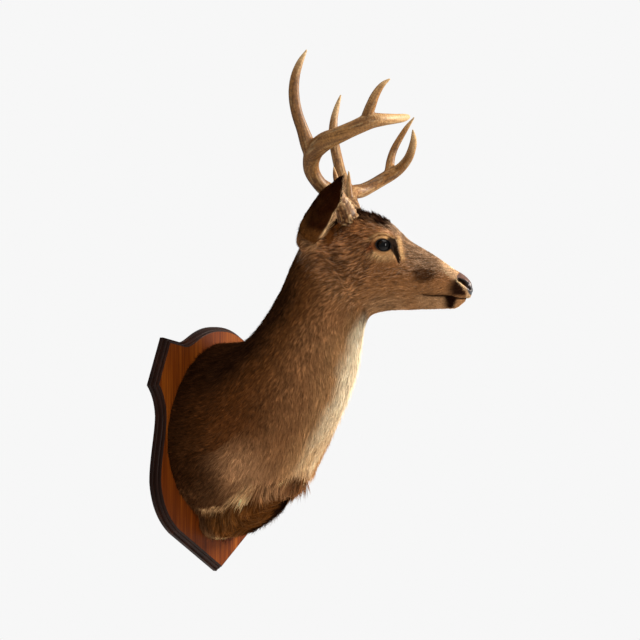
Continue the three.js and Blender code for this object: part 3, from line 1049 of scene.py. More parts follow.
    def _brisket(self, at: Anatomy, coat: Layers) -> None:
        """The fold across the chest and what hangs below it.

        Args:
            at: the places.
            coat: their colours, which are changed.
        """
        above = at.above_fold + 4 * at.wander
        inside = rise(30, 56, at.wall) * at.off_head
        under = rise(2, -5, above) * inside
        # Painted highlight: a pale lit spot on the point of the shoulder.
        point = np.hypot((at.wall - 152) / 36, (at.height + 26) / 42)
        coat.lay(self.shoulder_point, bump(0, 1, point) * (at.dorsal < -0.2) * 0.9)
        coat.lay(self.brisket, under)
        outer = rise(30, 75, np.abs(at.middle)) * rise(125, 85, at.wall)
        coat.lay(self.brisket_pale, under * outer * rise(-50, -8, above) * 0.8)
        strands = window(150, 198, 12, at.wall) * rise(-34, -16, above + 5 * at.wander)
        coat.lay(self.shoulder_point, under * strands * 0.6)
        swirl = np.hypot((at.wall - 131) / 16, (at.height + 80 - 0.55 * (at.wall - 131)) / 7)
        coat.lay(self.tuft, rise(1.1, 0.5, swirl) * inside)
        lip = bump(4, 3.6, above) * window(104, 156, 12, at.wall)
        coat.lay(self.crease, lip * inside * 0.7)
        strip = bump(-2, 3.6, above) * window(36, 92, 8, at.wall)
        coat.lay(self.crease, strip * 0.8)
        # Painted shade in the crease just below the fold.
        shade = bump(-10, 5, above) * window(40, 130, 12, at.wall)
        coat.lay(self.brisket_dark, shade * inside * 0.45)
        dark = window(2, 46, 7, at.middle + 5 * at.wander) * under
        coat.lay(self.brisket_dark, dark * rise(50, 90, at.wall) * 0.97)
        lobe = rise(172, 188, at.wall) * rise(46, 26, np.abs(at.middle))
        coat.lay(self.lobe, lobe * window(-70, -36, 9, at.height) * 0.9)

    def _head(self, at: Anatomy) -> Array:
        """Cheeks, face, muzzle and crown.

        Args:
            at: the places.

        Returns:
            Their colours.
        """
        behind, up, facing = at.behind, at.up, at.facing_up
        about_up, about_behind = up + 3 * at.wander, behind + 4 * at.wander
        about_out = at.out + 3 * at.wander
        coat = Layers(self.cheek, len(at.points))
        coat.lay(self.cheek_low, rise(330, 285, about_up) * 0.7)
        under = rise(-0.80, -0.97, facing) * rise(112, 165, behind) * rise(20, 8, at.out)
        coat.lay(self.throat, under * 0.85)
        shade = bump(0, 1, np.hypot((about_behind - 240) / 16, (about_up - 348) / 26))
        coat.lay(self.bridge_side, shade * 0.5)
        coat.lay(self.temple, bump(212, 26, about_behind) * bump(392, 20, up) * 0.5)
        ridge = rise(54, 30, about_out) * rise(316, 346, about_up)
        coat.lay(self.bridge, ridge * 0.9)
        away = np.hypot((about_behind - 84) / 23, (about_up - 327) / 19)
        coat.lay(self.bridge_side, rise(1.2, 0.4, away + 0.12 * at.wander))
        forehead = rise(46, 22, about_out) * rise(128, 150, about_behind)
        coat.lay(self.forehead, forehead)
        crown = rise(52, 36, at.out + 6 * at.wander) * rise(142, 158, about_behind)
        patchy = 0.72 + 0.28 * rise(-0.3, 0.3, at.noise(0.006, 21))
        coat.lay(self.crown, crown * patchy * rise(402, 412, up))
        foot = np.linalg.norm((at.mirrored - [80, 281, 391]) / [34, 17, 13], axis=1)
        coat.lay(self.crease, bump(0, 1, foot) * 0.5)
        # Painted light: the underside where the jaw meets the throat is lightened to tan, as if lit from
        # below.
        painted_underside_light = rise(-0.30, -0.75, facing) * window(112, 215, 22, behind)
        coat.lay(self.jaw, painted_underside_light * rise(300, 284, up) * 0.8)
        socket = bump(0, 26, np.hypot(at.out - 54, behind - 248)) * rise(394, 408, up)
        coat.lay(self.crown, socket)
        self._eye(at, coat)
        self._muzzle(at, coat)
        return coat.colours

    def _eye(self, at: Anatomy, coat: Layers) -> None:
        """The pale ring, the rust-brown corner, the dark rim and the streak from the front corner.

        Args:
            at: the places.
            coat: their colours, which are changed.
        """
        behind, up = at.behind, at.up
        margin = at.eye_margin + 1.2 * at.wander
        outside = rise(26, 34, at.out)
        below = rise(374, 364, up)
        above = rise(384, 392, up)
        coat.lay(self.eye_ring, rise(27, 8, margin) * below * outside * 0.95)
        lines = np.maximum(bump(6, 2.4, margin), 0.7 * bump(12, 2.2, margin))
        coat.lay(self.temple, rise(20, 12, margin) * above * outside * 0.6)
        coat.lay(self.brow, lines * above * outside)
        back = bump(178, 6.5, behind) * bump(375, 9, up)
        coat.lay(self.corner, back * outside * 0.85)
        centre, half = np.interp(up, *self.streak_line), np.interp(up, *self.streak_half_width)
        streak = rise(half * 1.25, half * 0.75, np.abs(behind - centre))
        streak = streak * window(346, 394, 3, up) * rise(-2, 2, at.eye_margin)
        strip = bump(0, 3.8, behind - centre + half + 4.5) * window(352, 404, 6, up)
        coat.lay(self.brow, strip * outside * 0.65)
        coat.lay(self.bare, streak * outside * 0.97)
        coat.lay(self.bare, rise(3.4, 1.4, at.eye_margin) * outside)

    def _muzzle(self, at: Anatomy, coat: Layers) -> None:
        """The pale band behind the nose, the dark patches and the chin.

        Args:
            at: the places.
            coat: their colours, which are changed.
        """
        behind, up, facing = at.behind, at.up, at.facing_up
        at_behind, at_up = behind + 1.6 * at.wander, up + 1.6 * at.wander
        edge = 318 + 0.96 * (at_behind - 30)
        band = rise(-9, 7, at_up - edge) * window(20, 54, 11, at_behind)
        coat.lay(self.muzzle_band, band * (0.55 + 0.45 * rise(8, 16, at.out)))
        front = np.interp(up, *self.muzzle_edge)
        patch = window(287, 317, 3.5, at_up) * rise(front - 1, front + 2.5, at_behind)
        fade = np.interp(up, (288, 301, 314), (35, 37, 33))
        coat.lay(self.muzzle_side, patch * rise(fade + 14, fade - 9, at_behind))
        above = up - Mouth().height(behind)
        before = rise(front + 0.5, front - 2, at_behind) * window(284, 322, 3, up)
        coat.lay(self.muzzle_front, before * 0.92)
        coat.lay(self.nostril_rim, bump(1.36, 0.24, at.nostril_reach) * rise(4, 9, behind))
        under = rise(1, -1.5, above) * rise(112, 84, behind)
        coat.lay(self.jaw, under)
        coat.lay(self.chin, under * rise(36, 26, at_behind))
        low = np.interp(up, (266, 274, 283), (34, 28.5, 24.5)) + 1.5 * at.wander
        spot = rise(low - 3.5, low + 3.5, at_behind) * rise(56, 42, at_behind + 2 * at.wander)
        coat.lay(self.lip_patch, spot * under * rise(-0.99, -0.94, facing))
        line = bump(0, 1.9, above) * rise(94, 84, behind) * rise(-0.95, -0.75, facing)
        coat.lay(self.lip_patch, line)

    def _pad(self, at: Anatomy) -> Array:
        """The bare nose: lighter mauve-brown painted light where it faces up, a blue-grey painted reflection
        in front, and near black in the nostrils.

        Args:
            at: the places.

        Returns:
            Their colours.
        """
        tone = np.clip(0.5 + 0.6 * at.noise(0.005, 8), 0, 1)
        front = rise(11, 4, at.behind) * rise(318, 308, at.up)
        pad = Layers(self.bare, len(at.points))
        # Painted light: the pad is lighter mauve-brown where it faces up.
        pad.lay(self.bare_top, rise(-0.1, 0.5, at.facing_up) * (0.6 + 0.4 * tone))
        # Painted reflection: a blue-grey sheen on the front of the pad.
        pad.lay(self.bare_light, front * tone * 0.8)
        pad.lay(self.nostril_inside, rise(1.15, 0.85, at.nostril_reach))
        middle = np.interp(at.behind, *zip(*(place[1:] for place in Nostril().line)))
        floor = rise(-0.6, -2.6, at.up - middle) * window(5, 17, 3, at.behind)
        pad.lay(self.nostril_floor, floor * rise(1.2, 1, at.nostril_reach) * 0.8)
        pad.lay(self.bare, rise(30, 38, at.out))
        return pad.colours

    def _ears(self, at: Anatomy, coat: Array) -> Array:
        """Dark backs, pale rims and insides, brown bases.

        Args:
            at: the places.
            coat: their colours so far.

        Returns:
            The colours with the ears'.
        """
        count = len(at.points)
        brown = np.clip(0.30 + 0.5 * at.noise(0.014, 13), 0, 1) * rise(0.8, 0.5, at.ear_along)
        ear = Layers(self.ear_back, count)
        ear.lay(self.ear_base, brown * 0.35)
        ear.lay(self.ear_base, rise(0.34, 0.10, at.ear_along + 0.08 * at.wander) * 0.9)
        inside = Layers(self.ear_inside, count)
        inside.lay(self.ear_base, rise(0.62, 0.2, at.ear_edge + 0.1 * at.wander) * 0.55)
        inside.lay(self.ear_fringe, rise(0.70, 0.86, at.ear_edge + 0.1 * at.wander) * 0.9)
        ear.lay(inside.colours, at.ear_inside)
        broken = 0.6 + 0.4 * rise(-0.5, 0.3, at.noise(0.009, 12))
        ear.lay(self.ear_rim, at.ear_rim * broken * rise(0.9, 0.75, at.ear_along))
        ear.lay(self.crown, rise(0.84, 0.97, at.ear_along) * 0.7)
        return coat + (ear.colours - coat) * rise(0, 0.5, at.ear)[:, None]


def bare_share(at: Anatomy) -> Array:
    """How bare the skin is.

    Args:
        at: the places.

    Returns:
        1 on the nose pad, the lid rims and in the nostrils, and 0 under the coat.
    """
    edge = np.interp(at.up, *Markings.pad_edge)
    pad = rise(edge + 1, edge - 1, at.behind) * rise(287, 291, at.up)
    nostril = rise(1.20, 1.05, at.nostril_reach)
    lids = rise(2.2, 1, at.eye_margin) * rise(30, 38, at.out)
    return np.clip(pad + nostril + lids, 0, 1) * at.on_head


# ---- coat


def lie_of_coat(at: Anatomy) -> Array:
    """The way that the hair runs.

    Args:
        at: the places.

    Returns:
        Directions along the skin, in the row frame.
    """
    front = rise(0, -0.7, at.dorsal)[:, None]
    body = -at.towards_head * (1.0 - 0.55 * front) + np.array([0.0, 0.0, -0.62]) * (0.35 + front)
    forward = (rise(0, 46, -at.above_fold) * rise(60, 120, at.wall))[:, None]
    sweep = np.array([0.0, 0.15, -1.0]) + np.array([0.0, -1.15, 0.55]) * forward
    body = body + (sweep - body) * rise(-6, 14, -at.above_fold)[:, None]
    head = np.tile(np.array([0.0, 1.0, -0.10]), (len(at.points), 1))
    head[:, 2] -= 0.42 * rise(0.5, -0.2, at.facing_up) * rise(90, 190, at.behind)
    head[:, 0] += 0.30 * at.side * rise(0.6, 0.95, at.facing_up)
    lie = body + (HEAD.turned_out(head) - body) * rise(-80, 50, at.ahead_of_poll)[:, None]
    for side, ear in EARS.items():
        along = HEAD.turned_out(ear.axes()[0] * side.flip)
        lie = lie + (along - lie) * (at.ear * at.here(side))[:, None]
    swirls = ((0.24, 0.055, 40), (0.20, 0.019, 43), (0.20, 0.009, 46))
    for axis in range(3):
        lie[:, axis] += sum(
            share * at.noise(scale, seed + axis) for share, scale, seed in swirls)
    away = np.stack([np.zeros(len(at.points)), *EYE.offsets(at.mirrored)], 1) * at.flip
    away = HEAD.turned_out(unit(away))
    close = (rise(16, 3, at.eye_margin) * rise(30, 38, at.out))[:, None]
    inward = np.minimum((lie * away).sum(1, keepdims=True), 0)
    return at.along_skin(lie - away * inward * close + away * 0.55 * close)


def drawn_out(points: Array, lie: Array, scale: float, reach: float, seed: int) -> Array:
    """Smooth random values drawn out into dashes along the lie of the coat.

    Args:
        points: the places.
        lie: the way that the hair runs there.
        scale: the dashes' width.
        reach: half the dashes' length.
        seed: picks the values.

    Returns:
        Values round 0, mostly between -1 and 1.
    """
    steps = np.linspace(-reach, reach, 2 * int(np.ceil(reach / scale)) + 1)
    made = sum(value_noise(points + lie * step, scale, seed) for step in steps)
    return made / len(steps) ** 0.5 * 1.15


@dataclass
class Skin:
    """The hide as the hair's ground: where its vertices lie, and its faces."""

    at: Anatomy
    triangles: Array

    def scatter(self, weight: Array, count: int, random: np.random.Generator) -> Anatomy:
        """Spreads roots over the hide.

        Args:
            weight: how densely the hair grows at each vertex.
            count: how many roots.
            random: the source of chance.

        Returns:
            The places of the roots.
        """
        a, b, c = (self.at.points[self.triangles[:, i]] for i in range(3))
        area = np.linalg.norm(np.cross(b - a, c - a), axis=1) / 2 * weight[self.triangles].mean(axis=1)
        total = np.cumsum(area)
        chosen = np.searchsorted(total, (np.arange(count) + random.random(count)) / count * total[-1])
        face = self.triangles[np.minimum(chosen, len(self.triangles) - 1)]
        u, v = random.random(count), random.random(count)
        over = u + v > 1
        u[over], v[over] = 1 - u[over], 1 - v[over]
        shares = np.stack([1 - u - v, u, v], 1)[:, :, None]
        return Anatomy((self.at.points[face] * shares).sum(1), unit((self.at.normals[face] * shares).sum(1)))


@dataclass
class Tufts:
    """Closed spikes of three sides, each with its own size, path and colour."""

    root: Array
    normal: Array
    facing: Array
    lie: Array
    length: Array
    width: Array
    lift: Array
    droop: Array
    colour: Array
    tip_colour: Array
    unwrap: Array
    rings: int = 1
    patch: float = 0.003
    sunk: float = 0.0004
    off_wall: float = 0.0206
    # Each corner of a ring: how far it goes sideways and up, and its place on the tuft's patch of the map.
    corners: tuple[tuple[float, ...], ...] = ((-0.5, 0, -0.5, 0), (0.5, 0, 0.5, 0), (0, 0.42, 0.06, 0.14))

    def build(self, name: str) -> Piece:
        """Joins all the tufts in one mesh with their colours and their map.

        Args:
            name: the piece's name.

        Returns:
            The piece, without its material.
        """
        count, per = len(self.root), 3 * self.rings + 1
        across = unit(np.cross(self.normal, self.lie))
        places, looks, colours = np.empty((3, count, per, 3))
        charts = np.empty((count, per, 2))
        for ring in range(self.rings):
            t = ring / self.rings
            middle = self._path(t)
            wide = (self.width * (1 - t) ** 0.6)[:, None]
            for corner, (sideways, upward, chart_u, chart_v) in enumerate(self.corners, 3 * ring):
                places[:, corner] = middle + across * wide * sideways + self.normal * wide * upward
                looks[:, corner] = unit(self.facing + across * sideways * 1.1)
                colours[:, corner] = self.colour + (self.tip_colour - self.colour) * t
                charts[:, corner, 0] = self.unwrap[:, 0] + chart_u * (1 - 0.6 * t) * self.patch
                charts[:, corner, 1] = self.unwrap[:, 1] + (chart_v - 0.5 + 0.9 * t) * self.patch
        places[:, -1], colours[:, -1] = self._path(1), self.tip_colour
        looks[:, -1] = unit(self.facing + 0.25 * self.lie)
        charts[:, -1] = self.unwrap + np.array([0.0, 0.5]) * self.patch
        places[..., 1] = np.minimum(places[..., 1], -self.off_wall)
        corners = (np.arange(count)[:, None, None] * per + np.array(self._faces())).reshape(-1)
        mesh = bpy.data.meshes.new(name)
        mesh.vertices.add(count * per)
        mesh.loops.add(len(corners))
        mesh.polygons.add(len(corners) // 3)
        mesh.loops.foreach_set("vertex_index", corners.astype(np.int32))
        mesh.polygons.foreach_set("loop_start", np.arange(0, len(corners), 3, dtype=np.int32))
        mesh.update(calc_edges=True)
        write_points(mesh, places)
        paint(mesh, COAT_COLOUR, np.clip(colours.reshape(-1, 3), 0, 1))
        chart = mesh.uv_layers.new(name=COAT_MAP)
        chart.data.foreach_set("uv", charts.reshape(-1, 2)[corners].astype(np.float32).ravel())
        shade_smooth(mesh)
        mesh.normals_split_custom_set_from_vertices(looks.reshape(-1, 3).astype(np.float32))
        return linked(name, mesh)

    def _path(self, t: float) -> Array:
        """The middle of every tuft.

        Args:
            t: the share of its length.

        Returns:
            One place for each tuft.
        """
        climb = self.lift * (1.7 * t - 0.7 * t * t) - self.sunk
        fall = np.zeros_like(self.root)
        fall[:, 2] = -self.droop * t * t
        return self.root + self.lie * (self.length * t)[:, None] + self.normal * climb[:, None] + fall

    def _faces(self) -> list[tuple[int, int, int]]:
        """The triangles of one tuft.

        Returns:
            Three of its corners for each: the foot, the sides and the tip.
        """
        sides = ((0, 1), (1, 2), (2, 0))
        faces = [(0, 2, 1)]
        for low in range(0, 3 * self.rings - 3, 3):
            for one, two in sides:
                faces += [(low + one, low + two, low + 3 + two), (low + one, low + 3 + two, low + 3 + one)]
        last = 3 * self.rings - 3
        return faces + [(last + one, last + two, last + 3) for one, two in sides]


def spread(values: Array) -> Array:
    """Values moved to fill 0.01 to 0.99."""
    low, high = float(values.min()), float(values.max())
    return 0.01 + 0.98 * (values - low) / max(high - low, 1e-6)


def chart_of(across: Array, along: Array) -> Array:
    """An unwrap of the skin from two measures of it, each moved to fill 0 to 1."""
    return np.stack([spread(across), spread(along)], 1)


@dataclass(frozen=True)
class Patch:
    """One piece of the coat: how long it is and how it stands. Subclasses say where."""

    name: str
    count: int
    side: Side | None = None
    rings: int = 1
    width: float = 1
    lift: float = 0.16  # how far the tips stand off the skin, as a share of the length
    droop: float = 0  # how far they hang, as a share of the length
    grizzle: float = 0.36
    dash: Pair = (1.7, 2)  # width and half length of the coat's flecks, in millimetres
    frost: Colour = linear(150, 122, 94)  # the pale bands near the tips of some hairs
    fewest: int = 40

    def weight(self, at: Anatomy) -> Array:
        """How densely the patch grows at each place."""
        raise NotImplementedError

    def length(self, at: Anatomy) -> Array:
        """How long the tufts are at each place, in millimetres."""
        raise NotImplementedError

    def chart(self, at: Anatomy) -> Array:
        """Each root's place on an unwrap of the skin, from 0 to 1."""
        raise NotImplementedError

    def sizes(self, at: Anatomy) -> tuple[Array, Array, Array, Array]:
        """Length, width, lift and droop in millimetres at each place."""
        length = self.length(at)
        return length, np.full(len(length), self.width), self.lift * length, self.droop * length

    def lie(self, at: Anatomy) -> Array:
        """The way that the tufts run."""
        return lie_of_coat(at)

    def contrast(self, at: Anatomy) -> Array:
        """How much the hairs differ in lightness at each place."""
        return np.full(len(at.points), self.grizzle)

    def one_side(self, at: Anatomy) -> Array:
        """1 on the patch's own side of the animal, or everywhere if it has none."""
        return np.ones(len(at.points)) if self.side is None else 1.0 * (at.points[:, 0] * self.side.value > 0)

    def colours(self, at: Anatomy, lie: Array, random: np.random.Generator) -> tuple[Array, Array]:
        """Picks each tuft's colours.

        Args:
            at: the roots.
            lie: the way that the hair runs there.
            random: the source of chance.

        Returns:
            The colours at the roots and at the tips.
        """
        base = Markings().paint(at)
        width, reach = (size * MM for size in self.dash)
        dashes = drawn_out(at.points, lie, width, reach, 61)
        patches = drawn_out(at.points, lie, 2.7 * width, 2.7 * reach, 62)
        chance = random.normal(0.0, 0.5, len(lie))
        strength = self.contrast(at)
        shade = np.clip(np.exp(strength * (1.5 * dashes + 0.35 * patches + chance)), 0.25, 2.8)[:, None]
        banded = (random.random(len(lie)) < strength * (0.25 + 0.4 * rise(0.1, 0.6, dashes)))[:, None]
        tip = base * shade * 1.12
        pale = np.array(self.frost) * rise(0.006, 0.06, base.mean(1))[:, None]
        pale *= (0.04 + 0.46 * np.minimum(strength, 1.1))[:, None]
        return base * shade * 0.66, np.where(banded, tip * 0.7 + base * 0.26 + pale, tip)

    def build(self, skin: Skin, share: float) -> Piece:
        """Grows the patch.

        Args:
            skin: the hide.
            share: part of the tufts to grow.

        Returns:
            The piece, without its material.
        """
        random = np.random.default_rng(sum(map(ord, self.name)))
        weight = np.clip(self.weight(skin.at), 0, None) * self.one_side(skin.at) * haired(skin.at)
        at = skin.scatter(weight, max(int(self.count * share), self.fewest), random)
        count = len(at.points)
        run = self.lie(at)
        length, width, lift, droop = self.sizes(at)
        vary = np.clip(random.normal(1.0, 0.22, count), 0.45, 1.6)
        base, tip = self.colours(at, run, random)
        lie = unit(run + random.normal(0.0, 0.10, (count, 3)))
        ruffle = np.stack([at.noise(0.0052, 70 + axis) for axis in range(3)], 1)
        facing = unit(at.normals + 0.42 * ruffle + random.normal(0.0, 0.12, (count, 3)))
        lift = lift * random.uniform(0.5, 1.2, count) * (1.0 + 0.5 * ruffle[:, 0])
        thicker = min(share ** -0.5, 2)
        return Tufts(
            at.points, at.normals, facing, lie, length * vary * MM, width * vary ** 0.5 * MM * thicker,
            lift * MM, droop * vary * MM, base, tip, self.chart(at), self.rings,
        ).build(self.name)

    def dress(self, piece: Piece, material: Material) -> None:
        """Gives the patch its finish and ties it to the mount.

        Args:
            piece: the patch's own piece.
            material: the finish.
        """
        piece.data.materials.append(material)
        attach(piece, BODY)


def haired(at: Anatomy) -> Array:
    """Where hair can grow.

    Args:
        at: the places.

    Returns:
        1 where it can, and 0 on bare skin, under the antlers and against the board.
    """
    grows = 1 - rise(0.25, 0.6, bare_share(at))
    grows *= rise(2, 3.2, at.eye_margin) + (at.out < 34)
    grows = np.clip(grows, 0, 1) * rise(0.0208, 0.0222, -at.points[:, 1])
    lips = (np.abs(at.up - Mouth().height(at.behind)) < 1.3) & (at.behind < 88) & (at.on_head > 0.5)
    beam = (at.from_antler < 16) & (at.up > 400)
    return grows * ~lips * ~beam


@dataclass(frozen=True)
class BodyPatch(Patch):
    """The short coat of part of the neck or trunk."""

    low: float = 0
    high: float = 1

    def weight(self, at: Anatomy) -> Array:
        """Even over the patch's share of the body, thinner where long hair covers it."""
        inside = (at.body_share >= self.low) & (at.body_share < self.high)
        return inside * at.off_head * (1 - rise(0, 0.4, at.ear))

    def sizes(self, at: Anatomy) -> tuple[Array, Array, Array, Array]:
        """Longest on the withers, shortest behind the head.

        Args:
            at: the places.

        Returns:
            Length, width, lift and droop in millimetres.
        """
        rough = rise(0.35, 0.75, at.dorsal) * rise(0.95, 0.5, at.body_share)
        length = 9 - 2 * rise(0.55, 1, at.body_share) + 7 * rough
        return length, 1.02 + 0.22 * rough, (0.17 + 0.10 * rough) * length, 0 * length

    def chart(self, at: Anatomy) -> Array:
        """A cylinder round the body, slit along the throat."""
        return chart_of(at.round_back, at.body_share)


@dataclass(frozen=True)
class FacePatch(Patch):
    """The finest coat, on one side of the head."""

    frost: Colour = linear(236, 212, 186)
    dash: Pair = (1.9, 4)
    # The middle of the head: its height at each distance behind the nose.
    core: Line = ((0, 112, 220, 300), (308, 326, 350, 350))

    def weight(self, at: Anatomy) -> Array:
        """Over the head, densest at the muzzle and eyes."""
        near = 1 + 0.9 * rise(100, 40, at.behind) + 0.6 * rise(24, 6, at.eye_margin)
        return near * at.on_head * (1 - rise(0.1, 0.5, at.ear))

    def sizes(self, at: Anatomy) -> tuple[Array, Array, Array, Array]:
        """Very short on the muzzle and before the eye, longer towards the neck.

        Args:
            at: the places.

        Returns:
            Length, width, lift and droop in millimetres.
        """
        length = 4 + 2.8 * rise(40, 130, at.behind) + 2.2 * rise(150, 270, at.behind)
        length = length * (0.45 + 0.55 * rise(2, 15, at.eye_margin))
        corner = bump(132, 16, at.behind) * window(340, 392, 8, at.up)
        length = length * (1 - 0.45 * corner * rise(26, 36, at.out))
        return length, 0.60 + 0.035 * length, 0.20 * length, 0 * length

    def contrast(self, at: Anatomy) -> Array:
        """Strongest on the bridge and the forehead, whose tips are grey and cream."""
        ridge = rise(62, 38, at.out) * rise(312, 336, at.up)
        return self.grizzle + 0.14 + 1 * ridge * rise(14, 30, at.behind)

    def chart(self, at: Anatomy) -> Array:
        """A cylinder round the middle of the head."""
        turn = np.arctan2(at.head[:, 0], at.up - np.interp(at.behind, *self.core))
        return chart_of(turn, at.behind)


@dataclass(frozen=True)
class EarPatch(Patch):
    """The velvet of both ears, back and front."""

    width: float = 0.75

    def weight(self, at: Anatomy) -> Array:
        """Over both ears."""
        return rise(0, 0.4, at.ear)

    def length(self, at: Anatomy) -> Array:
        """Short on the back, longer inside."""
        return 5.5 + 5.5 * at.ear_inside + 3 * rise(0.3, 0, at.ear_along)

    def chart(self, at: Anatomy) -> Array:
        """Lays each ear's back and front side by side.

        Args:
            at: the places.

        Returns:
            Their places on the unwrap.
        """
        strip = (at.side > 0) * 0.5 + (at.ear_inside > 0.5) * 0.25
        across = np.clip(at.ear_edge * 0.1, 0, 0.115)
        forward = np.where(at.head_normals[:, 0] * at.side > 0, across, -across)
        return np.stack([strip + 0.125 + forward, spread(at.ear_along)], 1)


@dataclass(frozen=True)
class ThroatLocks(Patch):
    """Long pale hair down the front of throat and chest."""

    rings: int = 3
    width: float = 1.25
    lift: float = 0.15
    droop: float = 0.05
    grizzle: float = 0.20
    dash: Pair = (3, 12)

    def weight(self, at: Anatomy) -> Array:
        """Down the front, between the jaw and the fold."""
        front = rise(-0.35, -0.8, at.dorsal)
        return front * rise(0, 16, at.above_fold) * at.off_head * rise(0, 0.25, at.body_share)

    def length(self, at: Anatomy) -> Array:
        """Longest on the chest."""
        return 21 - 8 * rise(0.55, 1, at.body_share)

    def chart(self, at: Anatomy) -> Array:
        """A cylinder round the body, slit along the back."""
        return chart_of(at.round_front, at.body_share)


@dataclass(frozen=True)
class BrisketLocks(Patch):
    """Curved strands that sweep back below the fold of the chest."""

    rings: int = 3
    width: float = 1.35
    lift: float = 0.17
    droop: float = 0.08
    grizzle: float = 0.52
    dash: Pair = (3.2, 16)

    def weight(self, at: Anatomy) -> Array:
        """How thickly they grow: most along the fold's lip and the lowest edge.

        Args:
            at: the places.

        Returns:
            The density.
        """
        lobe = np.hypot((at.wall - 200) / 16, (at.height + 52) / 13)
        hangs = 0.7 + 0.8 * rise(0.3, -0.5, at.normals[:, 2]) + 2 * bump(0, 1, lobe)
        seam = bump(0, 9, at.above_fold) * rise(105, 85, at.wall)
        return rise(-10, 4, -at.above_fold) * hangs * (1 - 0.85 * seam)

    def length(self, at: Anatomy) -> Array:
        """Long, and longest towards the front."""
        return 14 + 8 * rise(50, 110, at.wall) + 8 * rise(184, 200, at.wall)

    def chart(self, at: Anatomy) -> Array:
        """The underside laid flat."""
        return chart_of(at.points[:, 0], at.wall - at.height)


@dataclass(frozen=True)
class CrownLocks(Patch):
    """Rough dark hair on the crown and round the feet of the antlers."""

    rings: int = 2
    width: float = 1.3
    lift: float = 5.5 / 12
    grizzle: float = 0.55

    def lie(self, at: Anatomy) -> Array:
        """Every way, as in a rough crest."""
        ruffle = np.stack([at.noise(0.008, 90 + axis) for axis in range(3)], 1)
        return at.along_skin(lie_of_coat(at) + 1.5 * ruffle, 0.8)

    def weight(self, at: Anatomy) -> Array:
        """How thickly they grow: round the antlers and between them.

        Args:
            at: the places.

        Returns:
            The density.
        """
        crown = window(152, 222, 6, at.behind) * rise(44, 34, at.out)
        clumps = rise(-0.35, 0.25, at.noise(0.009, 96))
        return (bump(24, 11, at.from_antler) + 0.9 * crown * clumps) * rise(400, 415, at.up)

    def length(self, at: Anatomy) -> Array:
        """The same everywhere."""
        return np.full(len(at.points), 12.0)

    def chart(self, at: Anatomy) -> Array:
        """The crown laid flat."""
        return chart_of(at.head[:, 0], at.behind)


@dataclass(frozen=True)
class EarLocks(Patch):
    """Long hair inside the ears."""

    rings: int = 2
    width: float = 1.1
    lift: float = 0.26
    grizzle: float = 0.25

    def weight(self, at: Anatomy) -> Array:
        """Inside the cup and up its edges."""
        return rise(0.3, 0.6, at.ear_edge) * at.ear_inside * at.ear * rise(0.96, 0.7, at.ear_along)

    def length(self, at: Anatomy) -> Array:
        """Longest low in the cup."""
        return 19 - 8 * rise(0.3, 0.9, at.ear_along)

    def lie(self, at: Anatomy) -> Array:
        """Runs the hair along the ear and in over the cup.

        Args:
            at: the places.

        Returns:
            Directions along the skin, in the row frame.
        """
        lie = lie_of_coat(at)
        for side, ear in EARS.items():
            across = ear.place(at.head * side.flip)[1]
            inward = np.outer(-np.sign(across), ear.axes()[2]) * side.flip
            lie = lie + HEAD.turned_out(inward) * 0.45 * (at.here(side) * at.ear_inside)[:, None]
        return at.along_skin(lie, 0.8)

    def chart(self, at: Anatomy) -> Array:
        """Both ears side by side."""
        strip = np.clip(at.ear_edge * 0.2, 0, 0.23) * np.where(at.ear_inside > 0.5, 1, -1)
        return np.stack([0.25 + 0.5 * (at.side > 0) + strip, spread(at.ear_along)], 1)


@dataclass
class Coat:
    """All the hair that grows from the hide."""

    quick_share: float = 0.35
    lengths: tuple[tuple[str, float, float], ...] = (
        ("shoulder", -0.01, 0.34), ("lower_neck", 0.34, 0.62), ("upper_neck", 0.62, 1.01),
    )

    def patches(self) -> list[Patch]:
        """Lists the patches.

        Returns:
            Every patch of the coat, in the order that they grow.
        """
        made: list[Patch] = []
        for side in Side:
            for name, low, high in self.lengths:
                made.append(BodyPatch(f"coat_{name}_{side.word}", 36500, side, low=low, high=high))
            made.append(FacePatch(f"coat_face_{side.word}", 36000, side))
        return made + [
            EarPatch("coat_ears", 20000), ThroatLocks("hair_throat", 6500),
            BrisketLocks("hair_brisket", 6000), CrownLocks("hair_crown", 5000), EarLocks("hair_ears", 1600),
        ]

    def build(self, hide: Piece) -> list[tuple[Patch, Piece]]:
        """Grows every patch.

        Args:
            hide: the hide.

        Returns:
            The patches with their pieces.
        """
        skin = Skin(Anatomy.of(hide.data), read_triangles(hide.data))
        share = 1
        return [(patch, patch.build(skin, share)) for patch in self.patches()]


# ---- finishes


